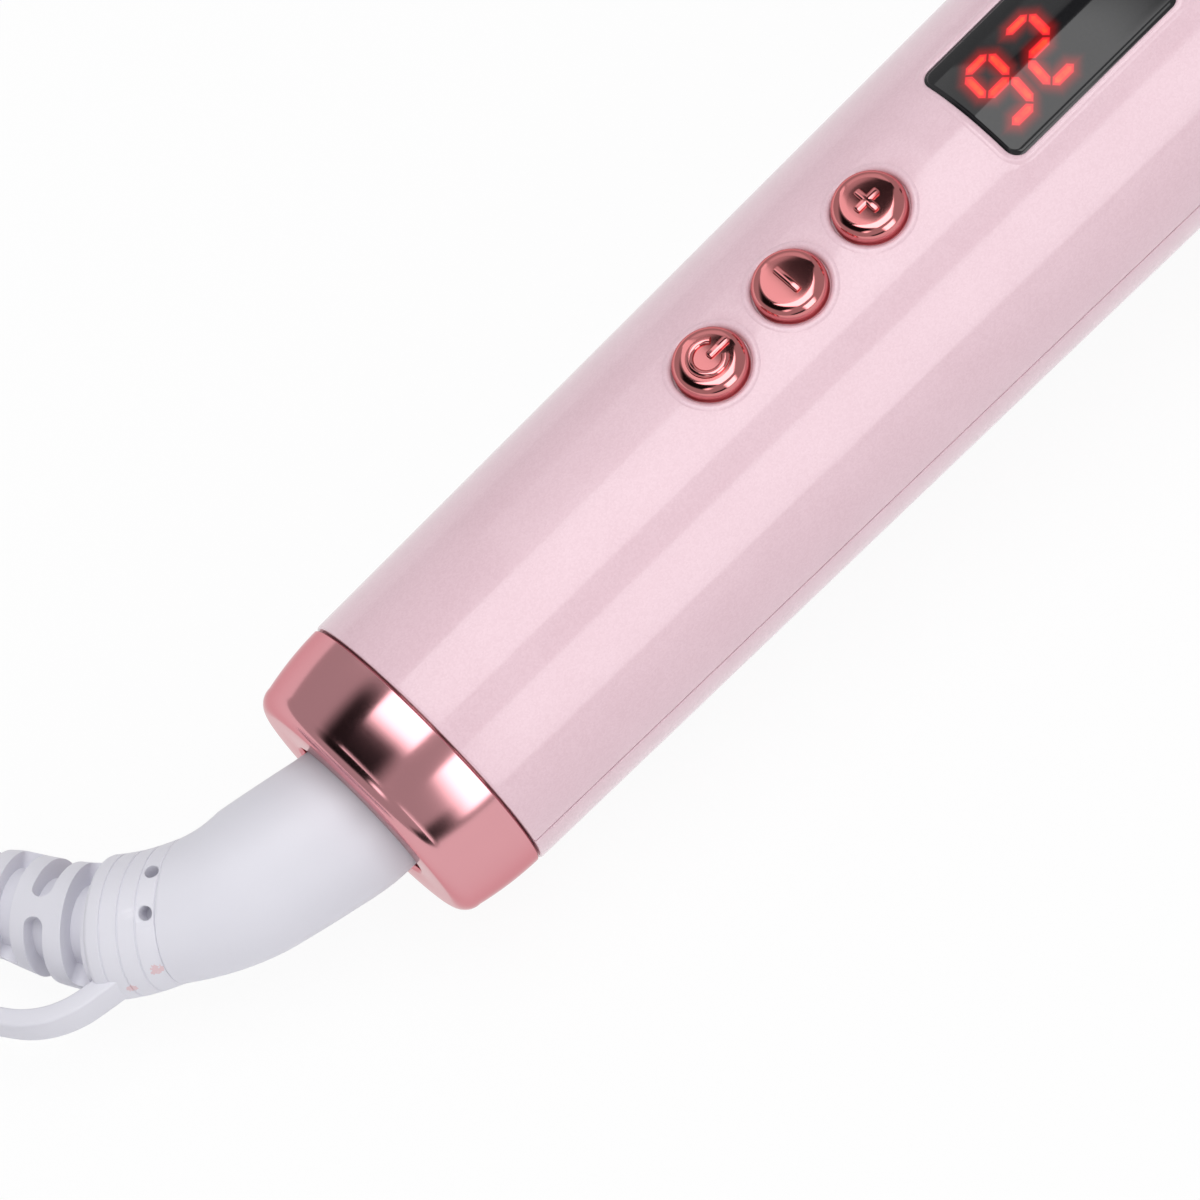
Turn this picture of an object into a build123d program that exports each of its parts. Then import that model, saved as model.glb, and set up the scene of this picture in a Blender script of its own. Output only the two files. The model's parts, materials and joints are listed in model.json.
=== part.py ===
import math
import os

from build123d import *

# A clamp curling iron lying on its stand, in millimetres and degrees.
# The iron is built level, with +X along the barrel, +Z where the display faces and x = 0 at the
# rear end of the handle, and is then tipped nose up until heel and stand foot touch the floor.

# Rest pose, and how far cutters run past what they cut
rest_tilt = 6.0
cut_over = 1.0

# Handle shells
handle_length = 150.0
handle_rear_radius = 17.0
handle_front_radius = 19.1
shell_wall = 2.2
seam_gap = 0.12
seam_depth = 0.4
joint_gap = 0.25

# End cap and swivel bearing
cap_length = 10.2
cap_step = 0.1
cap_taper = 1.5
cap_crown = 0.35
cap_edge_round = 2.2
cap_rear_wall = 1.6
spigot_wall = 1.8
spigot_length = 6.0
fit_gap = 0.1
stem_hole_radius = 8.6
flange_radius = 10.5
flange_thickness = 2.0
axial_play = 0.15
bush_thickness = 3.0
journal_radius = 5.0
running_gap = 0.08
journal_end = 1.2
journal_bore_radius = 2.2

# Slip rings and contacts
ring_width = 2.6
ring_wall = 0.9
ring_pitch = 5.5
ring_offset = 3.4
contact_gap = 0.1
contact_thickness = 0.5
contact_reach = 7.0
holder_width = 15.0

# Swivel stem and strain relief
neck_radius = 8.1
mouth_clear = 1.5
stem_radius = 8.33
stem_end_radius = 7.75
stem_swell = 0.22
bend_droop = 8.0
kink_angle = 14.0
kink_radius = 22.5
stem_straight = 8.5
bend_radius = 26.0
bend_end_angle = 60.0
relief_straight = 25.0
stem_length = 23.35
band_length = 2.0
joint_angle = 52.0
collar_ring_length = 1.75
collar_groove = 0.25
collar_groove_depth = 0.2
collar_rings = 3
rib_radius = 7.0
relief_end_radius = 4.5
sleeve_radius = 3.6
relief_stations = 5
slot_rows = 6
slot_first = 1.5
slot_pitch = 4.4
slot_width = 2.5
slot_webs = 2
web_width = 2.4
slot_turn = 13.0
peg_hole_radius = 0.75
peg_hole_depth = 1.2
peg_turn = 35.0
peg_middle = 98.0
loop_reach = 12.3
loop_thickness = 1.9
loop_width = 3.2
loop_root = 2.2
loop_sink = 2.25
loop_ramp = 6.5
loop_ramp_round = 11.0
loop_tail = 5.5
loop_corner = 4.5
loop_drop = 1.0

# Buttons, switches and board
button_radius = 4.15
button_rise = 1.4
button_edge_round = 1.3
button_gap = 0.25
button_flange = 0.9
button_flange_thickness = 0.8
button_stem_radius = 2.0
button_travel = 0.6
button_pitch = 12.15
power_button_place = 47.9
button_names = ("power", "minus", "plus")
board_height = 8.0
board_thickness = 1.6
board_width = 23.0
board_rear = 38.0
board_front = 118.0
switch_size = 6.0
switch_height = 3.5
plunger_radius = 1.7
plunger_rise = 1.0
post_radius = 1.5
post_inset = 4.0

# Display
window_rear = 86.0
window_length = 24.5
window_width = 14.3
window_corner = 2.0
window_thickness = 1.4
window_sink = 0.1
window_ledge = 1.3
window_ledge_corner = 1.3
display_length = 21.5
display_width = 11.0
display_clearance = 1.6

# Shell screws
screw_places = (28.0, 128.0)
screw_radius = 1.4
screw_head_radius = 2.8
screw_head_height = 2.0
screw_grip = 7.0
screw_end_room = 1.0
boss_radius = 4.2
head_sink = 1.0

# Front collar and barrel holder
collar_length = 7.0
collar_slope = 0.4
collar_edge = 1.8
collar_edge_drop = 0.6
collar_spigot = 7.0
holder_length = 21.0
holder_front_radius = 14.6
holder_rear_radius = 16.4
holder_edge = 2.0
holder_edge_drop = 1.0
holder_neck_wall = 1.2
holder_overlap = 5.0

# Barrel, heater and cool tip
barrel_radius = 12.5
barrel_wall = 1.0
barrel_length = 165.0
heater_width = 12.0
heater_thickness = 3.2
heater_length = 110.0
heater_inset = 2.5
spreader_gap = 0.05
spreader_margin = 4.0
sensor_radius = 1.6
sensor_length = 8.0
sensor_height = 6.0
tip_length = 23.0
tip_swell = 0.6
tip_nose_radius = 6.5
tip_straight = 8.0
tip_spigot = 6.0
bracket_thickness = 2.5
tip_screw_radius = 1.5
tip_screw_head_radius = 3.0
tip_screw_head_height = 2.0
tip_recess_depth = 4.0

# Clamp, saddle, hinge and spring
hinge_place = 12.0
hinge_rise = 5.8
pin_radius = 1.5
pin_gap = 0.06
pin_head_radius = 2.4
pin_head_thickness = 1.0
saddle_thickness = 1.2
saddle_half_width = 7.0
saddle_rear = 7.0
saddle_front = 9.0
lug_thickness = 1.2
lug_radius = 3.3
lug_inner = 5.5
lug_gap = 0.4
lug_back = 4.0
lug_back_top = 1.7
lug_foot = 14.0
lug_throat = 2.0
clamp_gap = 0.15
clamp_thickness = 0.9
clamp_half_width = 9.8
clamp_start = 14.0
clamp_tip_margin = 2.0
web_rise = 4.6
web_thickness = 1.2
web_length = 10.0
lever_length = 34.0
lever_rise = 14.0
lever_thickness = 3.0
lever_half_width = 8.0
lever_sag = 1.2
lever_crest = 3.0
grip_ribs = 4
grip_pitch = 3.0
grip_radius = 0.7
grip_inset = 4.0
grip_half_width = 4.8
lever_screw_radius = 1.2
lever_screw_inset = 2.5
lever_screw_sink = 1.0
lever_screw_end = 1.0
lever_screw_head = 2.2
lever_screw_head_height = 1.3
spring_wire = 1.2
spring_radius = 3.2
spring_pitch = 1.9
spring_turns = 4
spring_front_leg = 8.0
spring_rear_leg = 11.0
spring_rear_turn = 37.0

# Stand
stand_place = 9.0
stand_drop = 3.3
knuckle_radius = 2.6
knuckle_half_width = 10.0
ear_gap = 0.3
ear_thickness = 2.5
ear_radius = 2.9
stand_thickness = 1.5
stand_foot_width = 50.0
stand_foot_length = 9.0
stand_foot_round = 3.0
stand_lean = 4.0
stand_window_margin = 4.5
stop_length = 3.0
stop_half_width = 6.0
stop_reach = 5.0
stop_gap = 1.0

# Cord, coil and tie
cord_diameter = 5.4
cord_gap = 0.5
cord_arc_share = 0.45
cord_lead = 11.0
cord_tail_lead = 8.0
coil_inner_radius = 21.6
coil_layer_turns = 3.5
coil_layers = 2
coil_climb = 1.5
coil_leave_angle = 30.0
tie_thickness = 0.9
tie_gap = 0.3
tie_width = 10.0
tie_corner = 3.0
# Free points of the lead and of the tail, from the heel on the floor; the ends join what they meet
lead_points = ((-67.0, 55.6, 4.7), (-81.0, 60.4, 4.0), (-98.0, 61.4, 3.9), (-113.6, 61.4, 3.9))
tail_points = ((-160.0, 46.9, 8.4), (-168.0, 46.0, 6.85), (-175.5, 46.0, 6.85))

# Plug
plug_width = 34.0
plug_height = 13.7
plug_body_length = 26.0
plug_shoulder = 9.0
plug_neck_length = 12.0
plug_neck_radius = 4.6
plug_neck_ribs = 4
plug_rib_width = 1.4
plug_rib_wall = 0.5
plug_edge_round = 2.0
plug_pin_radius = 2.0
plug_pin_length = 19.0
plug_pin_spacing = 18.6
plug_pin_root = 8.0
plug_root_radius = 1.5
plug_tip_round = 1.0


def save(name, shape):
    export_step(shape, os.path.join("parts", name + ".step"))


def turned(*points):
    return revolve(make_face(Polyline(*points, close=True)), Axis.X)


def ring(x0, x1, outer, inner):
    return turned((x0, inner), (x1, inner), (x1, outer), (x0, outer))


def disc(x0, x1, radius):
    return turned((x0, 0), (x1, 0), (x1, radius), (x0, radius))


def upright(x, y, z0, z1, radius):
    return Pos(x, y, (z0 + z1) / 2) * Cylinder(radius, z1 - z0)


def crosswise(x, z, y0, y1, radius):
    return Pos(x, (y0 + y1) / 2, z) * Cylinder(radius, y1 - y0, rotation=(90, 0, 0))


def block(x0, x1, y0, y1, z0, z1):
    return Pos((x0 + x1) / 2, (y0 + y1) / 2, (z0 + z1) / 2) * Box(x1 - x0, y1 - y0, z1 - z0)


def side_plate(points, y0, y1):
    face = Plane.XZ * make_face(Polyline(*points, close=True))
    return Pos(0, y1, 0) * extrude(face, y1 - y0)


def handle_radius(x):
    return handle_rear_radius + (handle_front_radius - handle_rear_radius) * x / handle_length


def handle_form(inset, x0, x1):
    return turned((x0, 0), (x1, 0), (x1, handle_radius(x1) - inset), (x0, handle_radius(x0) - inset))


# Biarcs: two tangent arcs between each pair of points, so that a wound wire stays smooth
def biarc_edges(points, tangents):
    edges = []
    for start, end, t0, t1 in zip(points, points[1:], tangents, tangents[1:]):
        span = end - start
        turn = t0 + t1
        spread = 2 * (1 - t0.dot(t1))
        along = span.dot(turn)
        reach = (-along + math.sqrt(along * along + spread * span.dot(span))) / spread
        joint = (start + end + (t0 - t1) * reach) * 0.5
        first = TangentArc(start, joint, tangent=t0)
        edges.append(first)
        edges.append(TangentArc(joint, end, tangent=first % 1))
    return edges


def tube(edges, radius):
    path = Wire(edges)
    section = Plane(origin=path @ 0, z_dir=path % 0) * Circle(radius)
    return sweep(section, path), path


# Points nearer along the wire than this many diameters are the same turn, not a neighbour
loop_clear = 2.5


def least_self_gap(path, diameter, steps):
    points = [path @ (i / steps) for i in range(steps + 1)]
    stride = path.length / steps
    apart = int(loop_clear * diameter / stride) + 1
    least = path.length
    for i, point in enumerate(points):
        for other in points[i + apart:]:
            least = min(least, (point - other).length)
    return least - diameter


# Where the level iron stands once it is tipped onto heel and stand foot
tilt = math.radians(rest_tilt)
heel_height = handle_rear_radius * math.cos(tilt)


def floor_point(x, y, z):
    return Vector(
        x * math.cos(tilt) - z * math.sin(tilt),
        y,
        heel_height + x * math.sin(tilt) + z * math.cos(tilt),
    )


# Places along the axis that several pieces share
cap_front_radius = handle_rear_radius - cap_step
spigot_radius = handle_rear_radius - shell_wall - fit_gap
cap_bore = spigot_radius - spigot_wall
seat_rear = cap_rear_wall - cap_length
flange_rear = seat_rear + axial_play
bush_rear = flange_rear + flange_thickness + axial_play
bush_front = bush_rear + bush_thickness
ring_places = [spigot_length + ring_offset + ring_pitch * i for i in range(2)]
journal_front = ring_places[-1] + ring_width / 2 + journal_end
ring_radius = journal_radius + ring_wall
button_places = [power_button_place + button_pitch * i for i in range(len(button_names))]
window_middle = window_rear + window_length / 2
collar_front = handle_length + collar_length
holder_front = collar_front + holder_length
hinge_x = holder_front + hinge_place
stand_x = collar_front + stand_place
holder_bore = barrel_radius + fit_gap
collar_rear = handle_length - collar_spigot
collar_spigot_radius = handle_radius(collar_rear) - shell_wall - fit_gap
holder_neck = collar_spigot_radius - holder_neck_wall - fit_gap
barrel_rear = handle_length - holder_overlap
barrel_front = barrel_rear + barrel_length
tip_front = barrel_front + tip_length
bracket_rear = barrel_front - tip_spigot - bracket_thickness
spreader_front = bracket_rear - heater_inset
heater_front = spreader_front - spreader_margin
heater_rear = heater_front - heater_length
spreader_rear = heater_rear - spreader_margin
barrel_bore = barrel_radius - barrel_wall
hinge_height = barrel_radius + hinge_rise
clamp_inner = barrel_radius + clamp_gap
clamp_outer = clamp_inner + clamp_thickness
clamp_lug_inner = lug_inner + lug_thickness + lug_gap
clamp_lug_outer = clamp_lug_inner + lug_thickness
web_top = hinge_height + web_rise + web_thickness
stand_depth = holder_rear_radius + stand_drop


# Upper and lower handle shells with their seam, bosses, board posts, button holes and window
def handle_tube():
    outer = handle_form(0, joint_gap, handle_length)
    inner = handle_form(shell_wall, -cut_over, handle_length + cut_over)
    span = handle_front_radius + cut_over
    groove = block(0, handle_length, -span, span, -seam_gap, seam_gap)
    groove -= handle_form(seam_depth, -cut_over, handle_length + cut_over)
    return outer - inner - groove


def boss(x, z0, z1):
    return upright(x, 0, z0, z1, boss_radius) & handle_form(shell_wall / 2, 0, handle_length)


def boss_room():
    rooms = [upright(x, 0, -handle_front_radius, handle_front_radius, boss_radius + fit_gap) for x in screw_places]
    return Compound(children=rooms)


def window_plan(margin, corner):
    plan = RectangleRounded(window_length + 2 * margin, window_width + 2 * margin, corner)
    return Pos(window_middle, 0, 0) * extrude(plan, handle_front_radius + cut_over)


def upper_shell():
    shell = split(handle_tube(), Plane.XY, keep=Keep.TOP)
    for x in screw_places:
        shell += boss(x, 0, handle_front_radius)
    for x in screw_places:
        shell -= upright(x, 0, -cut_over, screw_grip + screw_end_room, screw_radius)
    for x in button_places:
        shell -= upright(x, 0, board_height, handle_radius(x) + cut_over, button_radius + button_gap)
    pocket = window_plan(fit_gap, window_corner + fit_gap)
    pocket -= handle_form(window_thickness, 0, handle_length)
    return shell - pocket - window_plan(-window_ledge, window_ledge_corner)


def lower_shell():
    shell = split(handle_tube(), Plane.XY, keep=Keep.BOTTOM)
    for x in screw_places:
        shell += boss(x, -handle_front_radius, 0)
    inside = handle_form(shell_wall / 2, 0, handle_length)
    for x in (board_rear + post_inset, board_front - post_inset):
        for y in (post_inset - board_width / 2, board_width / 2 - post_inset):
            foot = board_height - board_thickness
            shell += upright(x, y, -handle_front_radius, foot, post_radius) & inside
    for x in screw_places:
        seat = head_sink - handle_radius(x) + screw_head_height
        shell -= upright(x, 0, -handle_front_radius - cut_over, seat, screw_head_radius + fit_gap)
        shell -= upright(x, 0, -handle_front_radius, cut_over, screw_radius + fit_gap)
    return shell


def shell_screws():
    screws = []
    for x in screw_places:
        foot = head_sink - handle_radius(x)
        head = upright(x, 0, foot, foot + screw_head_height, screw_head_radius)
        screws.append(head + upright(x, 0, foot, screw_grip, screw_radius))
    return Compound(children=screws)


# Chrome end cap, a crowned taper with a rounded rear edge
def end_cap():
    rear = cap_front_radius - cap_taper
    start = (0, cap_front_radius)
    end = (-cap_length, rear)
    crown = (-cap_length / 2, (cap_front_radius + rear) / 2 + cap_crown)
    side = ThreePointArc(start, crown, end)
    rest = Polyline(end, (-cap_length, 0), (0, 0), start)
    cap = revolve(make_face([side, *rest.edges()]), Axis.X)
    rim = cap.edges().filter_by(GeomType.CIRCLE).sort_by(Axis.X)[0]
    cap = fillet(rim, cap_edge_round)
    cap += disc(0, spigot_length, spigot_radius)
    return cap - disc(seat_rear, spigot_length, cap_bore) - disc(-cap_length, 0, stem_hole_radius)


def swivel_bush():
    return ring(bush_rear, bush_front, cap_bore - fit_gap, journal_radius + running_gap)


# Slip rings turn with the stem, and sprung contacts in the handle rub on them
def slip_rings():
    rings = []
    for x in ring_places:
        rings.append(ring(x - ring_width / 2, x + ring_width / 2, ring_radius, journal_radius))
    return Compound(children=rings)


def contact_floor():
    return -ring_radius - contact_gap - contact_thickness - contact_reach / 2


def contact_holder():
    top = contact_floor()
    rear = ring_places[0] - ring_pitch / 2
    front = ring_places[1] + ring_pitch / 2
    half = holder_width / 2
    base = block(rear, front, -half, half, -handle_front_radius, top)
    return base & handle_form(shell_wall + fit_gap, 0, handle_length)


def slip_contacts():
    contacts = []
    tip = -ring_radius - contact_gap
    for x in ring_places:
        rear = x - ring_width / 2
        front = x + ring_width / 2
        leaf = block(rear, front, -contact_reach, contact_reach / 2, tip - contact_thickness, tip)
        leg = block(rear, front, -contact_reach, contact_thickness - contact_reach, contact_floor(), tip)
        contacts.append(leaf + leg)
    return Compound(children=contacts)


# Centre line of the swivel stem: kink, straight, bend and straight, in one drooping plane.
# From the joint on, the rings stand turned ahead of it until it catches up.
def stem_place(run):
    along = -flange_rear
    across = 0.0
    angle = 0.0
    kink = math.radians(kink_angle)
    bend = math.radians(bend_end_angle - kink_angle)
    pieces = (
        (kink_radius * kink, kink_radius),
        (stem_straight, None),
        (bend_radius * bend, bend_radius),
        (relief_straight, None),
    )
    left = run
    for length, radius in pieces:
        part = min(left, length)
        if radius is None:
            along += part * math.cos(angle)
            across += part * math.sin(angle)
        else:
            after = angle + part / radius
            along += radius * (math.sin(after) - math.sin(angle))
            across += radius * (math.cos(angle) - math.cos(after))
            angle = after
        left -= part
    return along, across, angle


def stem_plane(run):
    along, across, angle = stem_place(run)
    if run >= stem_length:
        angle = max(angle, math.radians(joint_angle))
    droop = math.radians(bend_droop)
    side = Vector(0, math.cos(droop), -math.sin(droop))
    origin = Vector(-along, 0, 0) + side * across
    forward = Vector(-math.cos(angle), 0, 0) + side * math.sin(angle)
    inward = Vector(math.sin(angle), 0, 0) + side * math.cos(angle)
    return Plane(origin=origin, x_dir=inward, z_dir=forward)


def relief_length():
    kink = kink_radius * math.radians(kink_angle)
    bend = bend_radius * math.radians(bend_end_angle - kink_angle)
    return kink + stem_straight + bend + relief_straight


def lofted(stations):
    return loft([stem_plane(run) * Circle(radius) for run, radius in stations])


def swivel_stem():
    flange = disc(flange_rear, flange_rear + flange_thickness, flange_radius)
    journal = disc(flange_rear, journal_front, journal_radius)
    bore = disc(flange_rear, journal_front + cut_over, journal_bore_radius)
    mouth_run = cap_rear_wall + axial_play + mouth_clear
    middle = (mouth_run + stem_length) / 2
    body = lofted(
        (
            (0, neck_radius),
            (mouth_run, stem_radius),
            (middle, (stem_radius + stem_end_radius) / 2 + stem_swell),
            (stem_length, stem_end_radius),
        )
    )
    return flange + body + (journal - bore)


# Ribbed strain relief: smooth band with two peg holes, fine rings, slotted sleeve, hanging loop
def relief_band():
    middle = stem_length + band_length / 2
    end = stem_length + band_length
    band = lofted(((stem_length, stem_end_radius), (middle, stem_end_radius), (end, stem_end_radius)))
    for side in (-1, 1):
        turn = side * peg_turn / 2 - peg_middle
        spot = stem_plane(middle) * Rot(0, 0, turn) * Pos(stem_end_radius, 0, 0)
        band -= spot * Cylinder(peg_hole_radius, 2 * peg_hole_depth, rotation=(0, 90, 0))
    return band


def collar_stack():
    run = stem_length + band_length
    groove_radius = stem_end_radius - collar_groove_depth
    stack = None
    for _ in range(collar_rings):
        middle = run + collar_groove
        end = middle + collar_ring_length
        groove = lofted(((run, groove_radius), (middle, groove_radius)))
        fin = lofted(((middle, stem_end_radius), (end, stem_end_radius)))
        stack = groove + fin if stack is None else stack + groove + fin
        run = end
    return stack, run


def slot_cutter(radius, turn):
    cutter = Cylinder(radius + cut_over, slot_width) - Cylinder(sleeve_radius, slot_width)
    for i in range(slot_webs):
        web = Pos(radius, 0, 0) * Box(2 * radius, web_width, slot_width)
        cutter -= Rot(0, 0, turn + 360 / slot_webs * (i + 0.5)) * web
    return cutter


def hanging_loop(start, end):
    root = start - loop_root
    half = (end - root) / 2
    plane = stem_plane((root + end) / 2)
    lean = math.radians(loop_drop)
    outward = plane.x_dir * -math.cos(lean) + plane.y_dir * math.sin(lean)
    frame = Plane(origin=plane.origin, x_dir=plane.z_dir, z_dir=plane.z_dir.cross(outward))
    route = FilletPolyline(
        (-half, stem_end_radius - loop_sink),
        (loop_ramp - half, loop_reach),
        (half - loop_tail, loop_reach),
        (half, sleeve_radius - loop_thickness),
        radius=(loop_ramp_round, loop_corner),
    )
    path = frame * route
    section = Plane(origin=path @ 0, x_dir=frame.z_dir, z_dir=path % 0)
    return sweep(section * Rectangle(loop_width, loop_thickness), path)


def strain_relief():
    stack, start = collar_stack()
    end = relief_length()

    def radius_at(run):
        share = (run - start) / (end - start)
        return rib_radius + (relief_end_radius - rib_radius) * share

    steps = relief_stations - 1
    stations = [start + (end - start) * i / steps for i in range(relief_stations)]
    sleeve = lofted([(run, radius_at(run)) for run in stations])
    for row in range(slot_rows):
        run = start + slot_first + slot_pitch * row
        turn = -90 - slot_turn + (row % 2) * 180 / slot_webs
        sleeve -= stem_plane(run) * slot_cutter(rib_radius, turn)
    return relief_band() + stack + sleeve + hanging_loop(start, end - relief_end_radius)


# Three domed buttons on flanged stems, each resting on the plunger of its switch
def button(x):
    top = handle_radius(x) + button_rise
    underside = handle_radius(x) - shell_wall
    drop = underside - math.sqrt(underside**2 - (button_radius + button_flange) ** 2)
    flange_top = underside - drop - fit_gap
    cap = upright(x, 0, flange_top, top, button_radius)
    cap = fillet(cap.edges().filter_by(GeomType.CIRCLE).sort_by(Axis.Z)[-1], button_edge_round)
    flange = upright(
        x, 0, flange_top - button_flange_thickness, flange_top, button_radius + button_flange
    )
    foot = board_height + switch_height + plunger_rise
    return cap + flange + upright(x, 0, foot, flange_top, button_stem_radius)


def plunger(x):
    foot = board_height + switch_height - plunger_rise
    return upright(x, 0, foot, board_height + switch_height + plunger_rise, plunger_radius)


def key_switches():
    switches = []
    half = switch_size / 2
    for x in button_places:
        top = board_height + switch_height
        case = block(x - half, x + half, -half, half, board_height, top)
        depth = plunger_rise + button_travel + fit_gap
        switches.append(case - upright(x, 0, top - depth, top + cut_over, plunger_radius + running_gap))
    return Compound(children=switches)


def circuit_board():
    half = board_width / 2
    return block(board_rear, board_front, -half, half, board_height - board_thickness, board_height)


# Display window and the display under it
def display_window():
    body = handle_form(window_sink, 0, handle_length)
    body -= handle_form(window_thickness, -cut_over, handle_length + cut_over)
    return window_plan(0, window_corner) & body


def display_module():
    half = display_width / 2
    rear = window_middle - display_length / 2
    underside = handle_radius(window_middle) - shell_wall
    top = math.sqrt(underside**2 - half**2) - display_clearance
    return block(rear, rear + display_length, -half, half, board_height, top)


# Front collar, barrel holder with the stand ears and stop
def front_collar():
    body = turned(
        (collar_rear, 0),
        (collar_rear, collar_spigot_radius),
        (handle_length, collar_spigot_radius),
        (handle_length, handle_front_radius),
        (collar_front - collar_edge, handle_front_radius - collar_slope),
        (collar_front, handle_front_radius - collar_slope - collar_edge_drop),
        (collar_front, 0),
    )
    body -= disc(collar_rear, collar_front, holder_neck + fit_gap)
    return body - boss_room()


def barrel_holder():
    body = turned(
        (collar_rear, 0),
        (collar_rear, holder_neck),
        (collar_front, holder_neck),
        (collar_front, holder_rear_radius),
        (holder_front - holder_edge, holder_front_radius),
        (holder_front, holder_front_radius - holder_edge_drop),
        (holder_front, 0),
    )
    for side in (-1, 1):
        inner = side * (knuckle_half_width + ear_gap)
        outer = inner + side * ear_thickness
        low, high = sorted((inner, outer))
        body += crosswise(stand_x, -stand_depth, low, high, ear_radius)
        body += block(stand_x - ear_radius, stand_x + ear_radius, low, high, -stand_depth, 0)
    stop_front = stand_x - knuckle_radius - stop_gap
    stop_rear = stop_front - stop_length
    stop_low = -stand_depth - stop_reach
    body += block(stop_rear, stop_front, -stop_half_width, stop_half_width, stop_low, 0)
    body -= disc(barrel_rear, holder_front, holder_bore)
    body -= disc(collar_rear, barrel_rear, barrel_bore)
    low = knuckle_half_width + ear_gap + ear_thickness
    body -= crosswise(stand_x, -stand_depth, -low, low, pin_radius)
    return body - boss_room()


def barrel():
    return ring(barrel_rear, barrel_front, barrel_radius, barrel_bore)


# Heater plate between two half round spreaders, with a sensor against the upper one
def heater_plate():
    half = heater_width / 2
    return block(heater_rear, heater_front, -half, half, -heater_thickness / 2, heater_thickness / 2)


def heat_spreader(side):
    core = disc(spreader_rear, spreader_front, barrel_bore - fit_gap)
    face = heater_thickness / 2 + spreader_gap
    low, high = sorted((side * face, side * barrel_bore))
    return core & block(spreader_rear, spreader_front, -barrel_bore, barrel_bore, low, high)


def temperature_sensor():
    bead = disc(spreader_rear - sensor_length, spreader_rear, sensor_radius)
    return Pos(0, 0, sensor_height) * bead


# Cool tip, held by a screw into a bracket in the barrel
def cool_tip():
    body_radius = barrel_radius + tip_swell
    shoulder = (barrel_front + tip_straight, body_radius)
    nose = (tip_front, tip_nose_radius)
    dome = TangentArc(shoulder, nose, tangent=(1, 0))
    rest = Polyline(
        nose,
        (tip_front, 0),
        (barrel_front - tip_spigot, 0),
        (barrel_front - tip_spigot, barrel_bore - fit_gap),
        (barrel_front, barrel_bore - fit_gap),
        (barrel_front, body_radius),
        shoulder,
    )
    body = revolve(make_face([dome, *rest.edges()]), Axis.X)
    recess = disc(tip_front - tip_recess_depth, tip_front, tip_screw_head_radius + fit_gap)
    return body - recess - disc(barrel_front - tip_spigot, tip_front, tip_screw_radius + fit_gap)


def tip_bracket():
    front = barrel_front - tip_spigot
    return ring(bracket_rear, front, barrel_bore - fit_gap, tip_screw_radius)


def tip_screw():
    seat = tip_front - tip_recess_depth
    head = disc(seat, seat + tip_screw_head_height, tip_screw_head_radius)
    return head + disc(bracket_rear, seat, tip_screw_radius)


# Clamp saddle on the barrel, with two lugs that hold the hinge pin
def clamp_saddle():
    rear = hinge_x - saddle_rear
    front = hinge_x + saddle_front
    half = saddle_half_width
    base = ring(rear, front, barrel_radius + saddle_thickness, barrel_radius)
    saddle = base & block(rear, front, -half, half, 0, hinge_height)
    for side in (-1, 1):
        low, high = sorted((side * lug_inner, side * (lug_inner + lug_thickness)))
        lug = crosswise(hinge_x, hinge_height, low, high, lug_radius)
        lug += block(hinge_x - lug_radius, hinge_x + lug_radius, low, high, 0, hinge_height)
        saddle += lug - disc(rear, front, barrel_radius)
    reach = lug_inner + lug_thickness + cut_over
    return saddle - crosswise(hinge_x, hinge_height, -reach, reach, pin_radius)


def clamp_pin():
    reach = clamp_lug_outer + fit_gap
    pin = crosswise(hinge_x, hinge_height, -reach, reach, pin_radius)
    for side in (-1, 1):
        low, high = sorted((side * reach, side * (reach + pin_head_thickness)))
        pin += crosswise(hinge_x, hinge_height, low, high, pin_head_radius)
    return pin


# Spoon shaped clamp plate with hinge lugs and a web that carries the thumb lever
def clamp_plate():
    start = hinge_x + clamp_start
    front = barrel_front - clamp_tip_margin
    half = clamp_half_width
    spoon = ring(start, front, clamp_outer, clamp_inner)
    plan = block(start, front - half, -half, half, 0, clamp_outer)
    plan += upright(front - half, 0, 0, clamp_outer, half)
    plate = spoon & plan
    foot = math.sqrt(clamp_inner**2 - clamp_lug_outer**2)
    for side in (-1, 1):
        low, high = sorted((side * clamp_lug_inner, side * clamp_lug_outer))
        profile = (
            (hinge_x - lug_back, hinge_height),
            (hinge_x - lug_back_top, web_top),
            (hinge_x + web_length, web_top),
            (start + lug_foot, foot),
            (start, foot),
            (start - lug_throat, hinge_height - lug_radius),
            (hinge_x, hinge_height - lug_radius),
        )
        plate += side_plate(profile, low, high)
    web_front = hinge_x + web_length
    web_bottom = web_top - web_thickness
    plate += block(hinge_x, web_front, -clamp_lug_outer, clamp_lug_outer, web_bottom, web_top)
    plate -= disc(hinge_x - saddle_rear, barrel_front, clamp_inner)
    hole = pin_radius + pin_gap
    plate -= crosswise(hinge_x, hinge_height, -clamp_lug_outer, clamp_lug_outer, hole)
    for x in lever_screw_places():
        plate -= upright(x, 0, web_bottom - cut_over, web_top + cut_over, lever_screw_radius)
    return plate


def lever_screw_places():
    return (hinge_x + lever_screw_inset, hinge_x + web_length - lever_screw_inset)


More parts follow.
